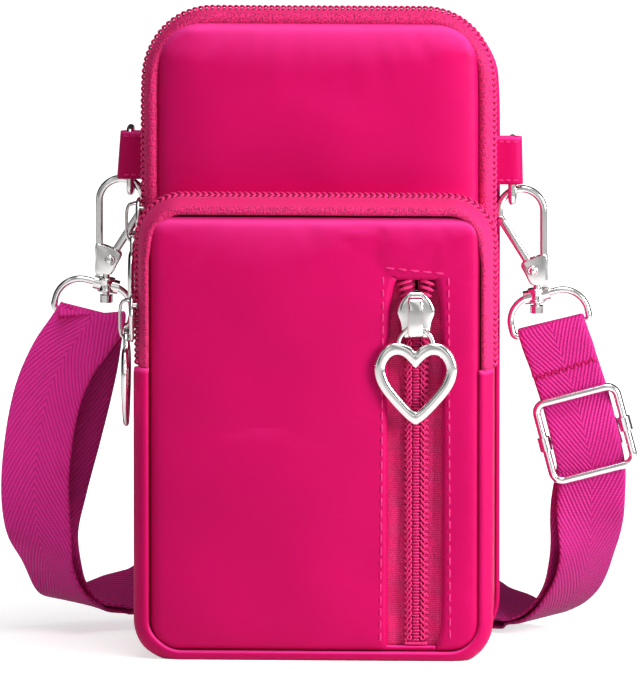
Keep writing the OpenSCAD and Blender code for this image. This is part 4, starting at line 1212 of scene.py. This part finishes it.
# The label, the place, whether it faces sideways and the half width of the inner plate
for label, place, sideways, inner_half in (
    ("front", (ZIP_X, FRONT_COIL_Y, 102.2), False, 5),
    ("pocket", (COIL_R - CORNER_X - POCKET_R, POCKET_ZIP_Y, 100), True, 1.4),
    ("main", (COIL_R - CORNER_X - MAIN_R, MAIN_ZIP_Y, 126), True, 1.4),
):
    piece(f"{label}_slider_cast", facing(slider_body(inner_half), place, sideways), nickel_mat,
          f"{label}_zip_slider", body=f"{label}_slider")
    hinge = np.array(place, float) + ((-HINGE_Y, 0, HINGE_Z) if sideways else (0, -HINGE_Y, HINGE_Z))
    piece(f"{label}_heart_cast", facing(heart_pull(), hinge, sideways), nickel_mat,
          f"{label}_zip_pull", body=f"{label}_pull")

# Snap hooks: the origin is the gate's rivet, X points outward and Z up
HOOK_Y = 19.2
RIVET_X = 62.1
RIVET_Z = 110.8
BOW_IN = 3.4
BOW_Z = 17.5
BOW_MID_R = 6.5
SPINE_X = 3.1
NOSE_Z = 15.75
GATE_ANGLE = math.radians(122.2)
GATE_REACH = 18.5
GATE_HUB = [(0.01, -0.8), (2.1, -0.8), (2.1, 0.1), (0.01, 0.1)]
CHEEK = [(4.2, -4.1), (1.8, -4.18), (-0.6, -4.1), (-2.3, -1.1), (-3.5, 1.2), (-3.0, 2.4), (-2.2, 3.0),
         (0.2, 3.9), (2.4, 4.6), (4.2, 4.62), (4.22, 0.3)]
RIVET_HEAD = [(0.01, -2.42), (0.55, -2.4), (0.85, -2.3), (0.98, -2.14), (1.1, -2.14), (1.25, -2.3),
              (1.45, -2.24), (1.6, -2.0)]
RIVET = [*RIVET_HEAD, (0.9, -2.0), (0.9, 2.0), *[(r, -y) for r, y in RIVET_HEAD[::-1]]]
# Barrel round the swivel stud in the middle of each strap loop: (radius, height)
STUD_X = 1.12
BOSS_DROP = 7.48
COLLAR = [(1.16, 1.95), (2.2, 2.1), (2.62, 1.95), (2.78, 1.6), (2.66, 1.25), (2.5, 1.1)]
COLLAR += [(r, -z) for r, z in COLLAR[::-1]]
TURNED_STEPS = 24
COLLAR_STEPS = 32


def rounded_plate(outline, y0, y1):
    """A plate from y0 to its outer face y1, with a softened outer edge."""
    shape = round_line(outline, 3)
    middle = shape.mean(0)
    away = math.copysign(1, y1 - y0)
    layers = ((y0, 1.0), (y1 - 0.5 * away, 1.0), (y1 - 0.2 * away, 0.975), (y1 - 0.05 * away, 0.93),
              (y1, 0.87))
    rings = []
    for y, share in layers:
        ring = middle + (shape - middle) * share
        rings.append(spots(ring[:, 0], y, ring[:, 1]))
    return np.concatenate(rings), pipe_faces(len(layers), len(shape))


def turned_rings(profile, steps):
    """A profile of (radius, y) turned round the Y axis."""
    return np.array([(r * math.cos(a), y, r * math.sin(a)) for r, y in profile for a in angles(steps)])


def turned_piece(profile):
    return turned_rings(profile, TURNED_STEPS), pipe_faces(len(profile), TURNED_STEPS)


arc = np.radians(np.linspace(0, 180, 25))
bow_line = np.vstack([
    [(SPINE_X, z) for z in np.linspace(-1, BOW_Z - 1, 10)],
    np.stack([BOW_MID_R * np.cos(arc) - BOW_IN, BOW_MID_R * np.sin(arc) + BOW_Z], 1),
    [(-BOW_IN - BOW_MID_R, z) for z in np.linspace(BOW_Z - 0.6, NOSE_Z, 4)],
])
gate_line = np.outer(np.linspace(0.2, GATE_REACH - 0.1, 12), (math.cos(GATE_ANGLE), math.sin(GATE_ANGLE)))
hook_parts = {
    "hook": join([rod(bow_line, 1.1, 1.3), rounded_plate(CHEEK, -1.0, -2.0), rounded_plate(CHEEK, 1.0, 2.0)]),
    "gate": join([rod(gate_line, 1.15, 0.8), turned_piece(GATE_HUB)]),
    "gate_rivet": turned_piece(RIVET),
}
for name, side in SIDES:
    origin = np.array([side * RIVET_X, HOOK_Y, RIVET_Z - side * LIFT])
    for label, made in hook_parts.items():
        piece(f"{label}_{name}_cast", (made[0] * (side, 1, 1) + origin, made[1]), nickel_mat,
              f"{label}_{name}", body=f"gate_{name}" if label == "gate" else f"hook_{name}")
    collar = turned_rings(COLLAR, COLLAR_STEPS)[:, [0, 2, 1]] + origin + (side * STUD_X, 0, -BOSS_DROP)
    collar_faces = grid_faces(len(COLLAR), COLLAR_STEPS, True, True)
    piece(f"strap_loop_{name}_collar", (collar, collar_faces), nickel_mat)

# The webbing strap: points of its middle line and directions of its width, much as in the solid
LOOP_TILT = math.radians(14)
LOOP_SHIFT = 2
LOOP_H = 10.6
LOOP_WRAP_R = 1.75
ADJUSTER = (77.5, 16.9, 61.5)
ADJUSTER_TILT = math.radians(15)
BAR_BACK = 2.4
BAR_WRAP_R = 1.95
OVER = [0, 45, 90, 135, 180]


def wrap(middle, side, tilt, r, turns):
    """Points round a bar that lies across the strap."""
    x, y, z = middle
    width = (side * math.cos(tilt), 0, math.sin(tilt))
    out = []
    for degrees in turns:
        t = math.radians(degrees)
        up = math.sin(t) * r
        out.append(((x - side * math.sin(tilt) * up, y + math.cos(t) * r, z + math.cos(tilt) * up), width))
    return out


def round_loop(side, turns):
    across = LOOP_SHIFT * math.cos(LOOP_TILT) + LOOP_H * math.sin(LOOP_TILT)
    down = LOOP_SHIFT * math.sin(LOOP_TILT) - LOOP_H * math.cos(LOOP_TILT)
    middle = (side * (RIVET_X + STUD_X + across), HOOK_Y, RIVET_Z - BOSS_DROP + down - side * LIFT)
    return wrap(middle, side, LOOP_TILT, LOOP_WRAP_R, turns)


def laid(*rows):
    """Listed points: x, y behind the hooks, z, and the direction of the width."""
    return [((x, HOOK_Y + y, z), width) for x, y, z, *width in rows]


ROUTE = [
    *laid(
        (71.6, 1.2, 80, 0.96, 0, 0.26), (70.4, 1.6, 84.5, 0.96, 0, 0.26),
        (68.9, 1.8, 88.6, 0.97, 0, 0.25),
    ),
    *round_loop(1, OVER),
    *laid(
        (68.9, -1.8, 88.6, 0.97, 0, 0.25), (70.6, -1, 84, 0.96, 0, 0.26),
        (72.2, -0.4, 79.2, 0.96, 0, 0.26), (73.8, -0.1, 74.2, 0.96, 0, 0.26),
        (74.9, -0.3, 70.6, 0.96, 0, 0.26), (77.4, -3.1, 61.5, 0.96, 0, 0.26),
        (79.2, -0.4, 52.6, 0.96, 0, 0.2), (79.5, -0.1, 48.4, 0.98, 0, 0.12),
        (79.2, -0.4, 40, 0.99, 0.08, 0), (78.9, 0.6, 33, 0.92, 0.35, 0),
        (78.2, 1.8, 26, 0.79, 0.6, -0.02), (76.2, 4.3, 18.5, 0.7, 0.72, -0.15),
        (73.4, 7, 13, 0.62, 0.77, -0.18), (69, 10.6, 7.9, 0.52, 0.83, -0.1),
        (63.3, 15.1, 4.4, 0.35, 0.92, -0.02), (57.2, 19.5, 4.5, 0.15, 0.95, 0.25),
        (49.5, 21.5, 5.5, 0.05, 0.9, 0.42), (41, 26.4, 9.5, 0, 0.65, 0.76),
        (30, 39, 10.5, 0, 0.25, 0.97), (13, 54.5, 10.6, 0, 0, 1), (-10, 56.5, 10.6, 0, 0, 1),
        (-29, 43, 10.4, 0, 0.25, 0.97), (-44, 27.5, 10.2, 0, 0.65, 0.76),
        (-54, 21.5, 9.7, -0.1, 0.85, 0.5), (-61.7, 19.8, 8.7, -0.25, 0.9, 0.35),
        (-70.2, 14.8, 8, -0.55, 0.83, 0.05), (-75.9, 6.8, 12.1, -0.7, 0.7, -0.1),
        (-79.7, 4, 21, -0.78, 0.62, 0), (-82.3, 0.3, 32, -0.98, 0.2, 0), (-83.2, -1, 44, -1, 0, 0.05),
        (-82.2, -1.6, 57, -0.98, 0, 0.16), (-79.8, -2, 70, -0.97, 0, 0.24),
        (-75.6, -2.2, 82, -0.97, 0, 0.25), (-71.2, -2, 89.4, -0.97, 0, 0.25),
    ),
    *round_loop(-1, OVER[::-1]),
    *laid(
        (-68.6, 2.4, 89.4, -0.97, 0, 0.25), (-70, 4.2, 76, -0.97, 0, 0.24),
        (-73.8, 5.3, 60, -0.98, 0, 0.16), (-78, 5.3, 44, -1, 0, 0.05), (-80.4, 5.3, 31, -0.98, 0.2, 0),
        (-77.4, 9, 19.8, -0.78, 0.62, 0), (-74.8, 11.8, 13, -0.7, 0.7, -0.1),
        (-69.6, 15.2, 10, -0.55, 0.83, 0.05), (-61.5, 19.1, 10.6, -0.25, 0.9, 0.35),
        (-53.8, 20.5, 11.6, -0.1, 0.85, 0.5), (-43.3, 26, 11.9, 0, 0.65, 0.76),
        (-27.8, 40.6, 11.2, 0, 0.25, 0.97), (-9.5, 53.6, 10.8, 0, 0, 1), (12, 51.6, 10.8, 0, 0, 1),
        (28.5, 35.2, 11.4, 0, 0.25, 0.97), (40.3, 22.6, 11.6, 0, 0.65, 0.76),
        (49.3, 18.6, 8.6, 0.05, 0.9, 0.42), (57.2, 17.2, 6.9, 0.15, 0.95, 0.25),
        (62.9, 15.3, 6.5, 0.35, 0.92, -0.02), (67.8, 12.6, 9.2, 0.52, 0.83, -0.1),
        (71.7, 9.9, 13.8, 0.64, 0.76, -0.15), (74, 7.7, 20.6, 0.72, 0.69, -0.1),
        (75.9, 5.8, 29, 0.85, 0.5, 0), (77.4, 4.4, 41, 1, 0.05, 0), (79, 2.8, 51, 0.98, 0, 0.15),
        (78, 2.1, 58, 0.96, 0, 0.26),
    ),
    *wrap((ADJUSTER[0], ADJUSTER[1] + BAR_BACK, ADJUSTER[2]), 1, ADJUSTER_TILT, BAR_WRAP_R, OVER),
    *laid(
        (78, -1.3, 59.6, 0.96, 0, 0.26), (78.5, -0.5, 58, 0.96, 0, 0.26),
        (78.9, 0, 56.4, 0.96, 0, 0.26),
    ),
]

STRAP_W = 20.0
STRAP_HALF_T = 0.6
STRAP_HANG = 1.1
# The point of the strap's line where its end is sewn down, and the height of each stitch along its length
SEWN_AT = 97
SEAM_LIFT = np.array([0.52, 0.7, 0.78, 0.78, 0.7, 0.52])[:, None]

strap_line = smooth_line([point for point, width in ROUTE], 10)
# The left side hangs a little further out than in the solid
strap_x, strap_z = strap_line[:, 0], strap_line[:, 2]
strap_line[:, 0] -= STRAP_HANG * eased((-strap_x - 62) / 8) * eased(strap_z / 12) * eased((92 - strap_z) / 20)
onward = along(strap_line)
strap_wide = smooth_line([width for point, width in ROUTE], 10)
strap_wide = unit(strap_wide - onward * np.sum(onward * strap_wide, axis=1)[:, None])
strap_normal = np.cross(onward, strap_wide)
strap_at = lengths(strap_line)

# A profile with rounded edges: across the width, then the thickness
half = STRAP_W / 2
flat_part = [(u, -STRAP_HALF_T) for u in np.linspace(-half + 2, half - 2, 7)]
under_side = [(-half + 0.15, -0.35), (-half + 0.6, -STRAP_HALF_T), *flat_part, (half - 0.6, -STRAP_HALF_T),
              (half - 0.15, -0.35)]
ring = np.array([*under_side, (half, 0), *[(u, -v) for u, v in under_side[::-1]], (-half, 0)])
strap_points = (strap_line[:, None, :] + strap_wide[:, None, :] * ring[None, :, 0:1]
                + strap_normal[:, None, :] * ring[None, :, 1:2]).reshape(-1, 3)
strap_uv = np.stack([np.repeat(strap_at, len(ring)), np.tile(ring[:, 0], len(strap_line))], 1)
strap_faces = pipe_faces(len(strap_line), len(ring))
strap_piece = piece("webbing_strap", (strap_points, strap_faces, strap_uv), webbing_mat, "strap_webbing")

# A zigzag row sews the strap's end to the layer in front of it
outward = strap_normal[SEWN_AT] * -np.sign(strap_normal[SEWN_AT][1])
zigzag = [(u, 0.75 * (-1) ** k) for k, u in enumerate(np.linspace(-9.2, 9.2, 17))]
seam = []
for (u0, v0), (u1, v1) in zip(zigzag, zigzag[1:]):
    share = np.linspace(0, 1, 6)[:, None]
    flat = (strap_line[SEWN_AT] + strap_wide[SEWN_AT] * (u0 + (u1 - u0) * share)
            + onward[SEWN_AT] * (v0 + (v1 - v0) * share))
    seam.append(tube(flat + outward * SEAM_LIFT, 0.26, 6, up=tuple(outward)))
piece("strap_end_stitches", join(seam), strap_thread_mat)

# Hardware that keeps the solid's own shape
SOFT = ("panel", "piping", "gusset", "lining", "tape", "coil", "roll", "bag", "tab_", "webbing", "_zip_")
for name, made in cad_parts.items():
    if any(word in name for word in SOFT):
        continue
    for slot in made.material_slots:
        slot.material = nickel_mat
    bevel = made.modifiers.new("bevel", "BEVEL")
    bevel.width = 0.25 * MM
    bevel.segments = 4
    bevel.limit_method = "ANGLE"
    bevel.angle_limit = math.radians(35)
    bevel.harden_normals = False
    for polygon in made.data.polygons:
        polygon.use_smooth = True

# Floor: it takes the object's shadow and glows towards white away from it
WHITE = (1, 1, 1, 1)
floor_mat = bpy.data.materials.new("floor")
nodes = emptied(floor_mat)
seen = nodes.add("LightPath")
lit = nodes.add("BsdfDiffuse", {"Color": (0.8, 0.8, 0.8, 1)})[0]
faint = nodes.add("Emission", {"Color": WHITE, "Strength": 0.22})[0]
dim = nodes.add("AddShader", {0: lit, 1: faint})[0]
plain = nodes.add("MixShader", {0: seen["Is Glossy Ray"], 1: lit, 2: dim})[0]
spot = nodes.add("VectorMath", {0: nodes.add("NewGeometry")["Position"]}, operation="LENGTH")["Value"]
glow = nodes.add("Emission", {"Color": WHITE, "Strength": nodes.ranged(spot, 0.13, 0.34, 0.6, 1.0)})[0]
both = nodes.add("AddShader", {0: lit, 1: glow})[0]
nodes.output("OutputMaterial", nodes.add("MixShader", {0: seen["Is Camera Ray"], 1: plain, 2: both})[0])


def staged(name, points, faces, look):
    """A piece of the set, which isn't part of the object."""
    mesh = bpy.data.meshes.new(name)
    mesh.from_pydata(points, [], faces)
    mesh.materials.append(look)
    made = bpy.data.objects.new(name, mesh)
    scene.collection.objects.link(made)
    return made


staged("floor", [(-6, -6, 0), (6, -6, 0), (6, 6, 0), (-6, 6, 0)], [(0, 1, 2, 3)], floor_mat)

# World: white to the camera, and soft boxes and dark gaps from left to right to the metal
GAPS = ((0.10, 0.9), (0.15, 0.1), (0.30, 0.05), (0.35, 0.9), (0.42, 1.0), (0.47, 0.4), (0.53, 0.35),
        (0.58, 1.0), (0.64, 0.95), (0.68, 0.12), (0.78, 0.05), (0.83, 0.95))
world = bpy.data.worlds.new("studio")
scene.world = world
nodes = emptied(world)
seen = nodes.add("LightPath")
plain = nodes.add("Background", {"Color": WHITE, "Strength": 0.24})[0]
bright = nodes.add("Background", {"Color": WHITE, "Strength": 1.0})[0]
way = nodes.parts(nodes.add("TexCoord")["Generated"])
turned = nodes.ranged(nodes.plus(way["X"], nodes.times(way["Z"], 0.35)), -1.1, 1.1)
ramp = nodes.node("ValToRGB", {0: turned})
stops = ramp.color_ramp.elements
stops[0].color = (0.95, 0.95, 0.95, 1)
stops[1].color = WHITE
for stop, level in GAPS:
    stops.new(stop).color = (level, level, level, 1)
strength = nodes.ranged(way["Y"], -0.35, 0.3, 1.0, 0.05)
room = nodes.add("Background", {"Color": ramp.outputs[0], "Strength": strength})[0]
mixed = nodes.add("MixShader", {0: seen["Is Glossy Ray"], 1: plain, 2: room})[0]
white = nodes.maths("MAXIMUM", seen["Is Camera Ray"], seen["Is Transmission Ray"])
nodes.output("OutputWorld", nodes.add("MixShader", {0: white, 1: mixed, 2: bright})[0])

# Lamps: name, place, aim, size and power
LAMPS = (
    ("key", (0.46, -0.27, 0.24), (0.04, 0, 0.10), (0.2, 0.28), 3.6),
    ("top", (0.1, -0.22, 0.8), (0, 0, 0.12), (0.5, 0.4), 3.6),
    ("fill", (-0.9, -0.8, 0.35), (0, 0, 0.09), (0.5, 0.7), 0.5),
)
for name, place, aim, size, power in LAMPS:
    data = bpy.data.lights.new(name, "AREA")
    data.shape = "RECTANGLE"
    data.size, data.size_y = size
    data.energy = power
    made = bpy.data.objects.new(name, data)
    made.location = place
    made.rotation_mode = "QUATERNION"
    made.rotation_quaternion = (Vector(aim) - Vector(place)).to_track_quat("-Z", "Y")
    scene.collection.objects.link(made)

# Dark cards beside the camera for the metal to mirror: name, angle in degrees, distance, width, height, shade
CARDS = (
    ("dark_card_left", -80, 0.9, 0.55, 1.3, 0.01),
    ("dark_card_right", 62, 0.9, 0.16, 1.0, 0.03),
    ("dark_card_front", -22, 1.1, 0.14, 0.9, 0.05),
)
CARD_LOW = 0.02
for name, angle, distance, width, height, shade in CARDS:
    look = bpy.data.materials.new(name)
    nodes = emptied(look)
    nodes.output("OutputMaterial", nodes.add("BsdfDiffuse", {"Color": (shade, shade, shade, 1)})[0])
    a = math.radians(angle)
    middle = Vector((math.sin(a), -math.cos(a), 0)) * distance
    across = Vector((math.cos(a), math.sin(a), 0)) * (width / 2)
    points = [(*c.xy, z) for z in (CARD_LOW, height) for c in (middle - across, middle + across)]
    made = staged(name, points, [(0, 1, 3, 2)], look)
    made.visible_camera = False
    made.visible_diffuse = False
    made.visible_shadow = False
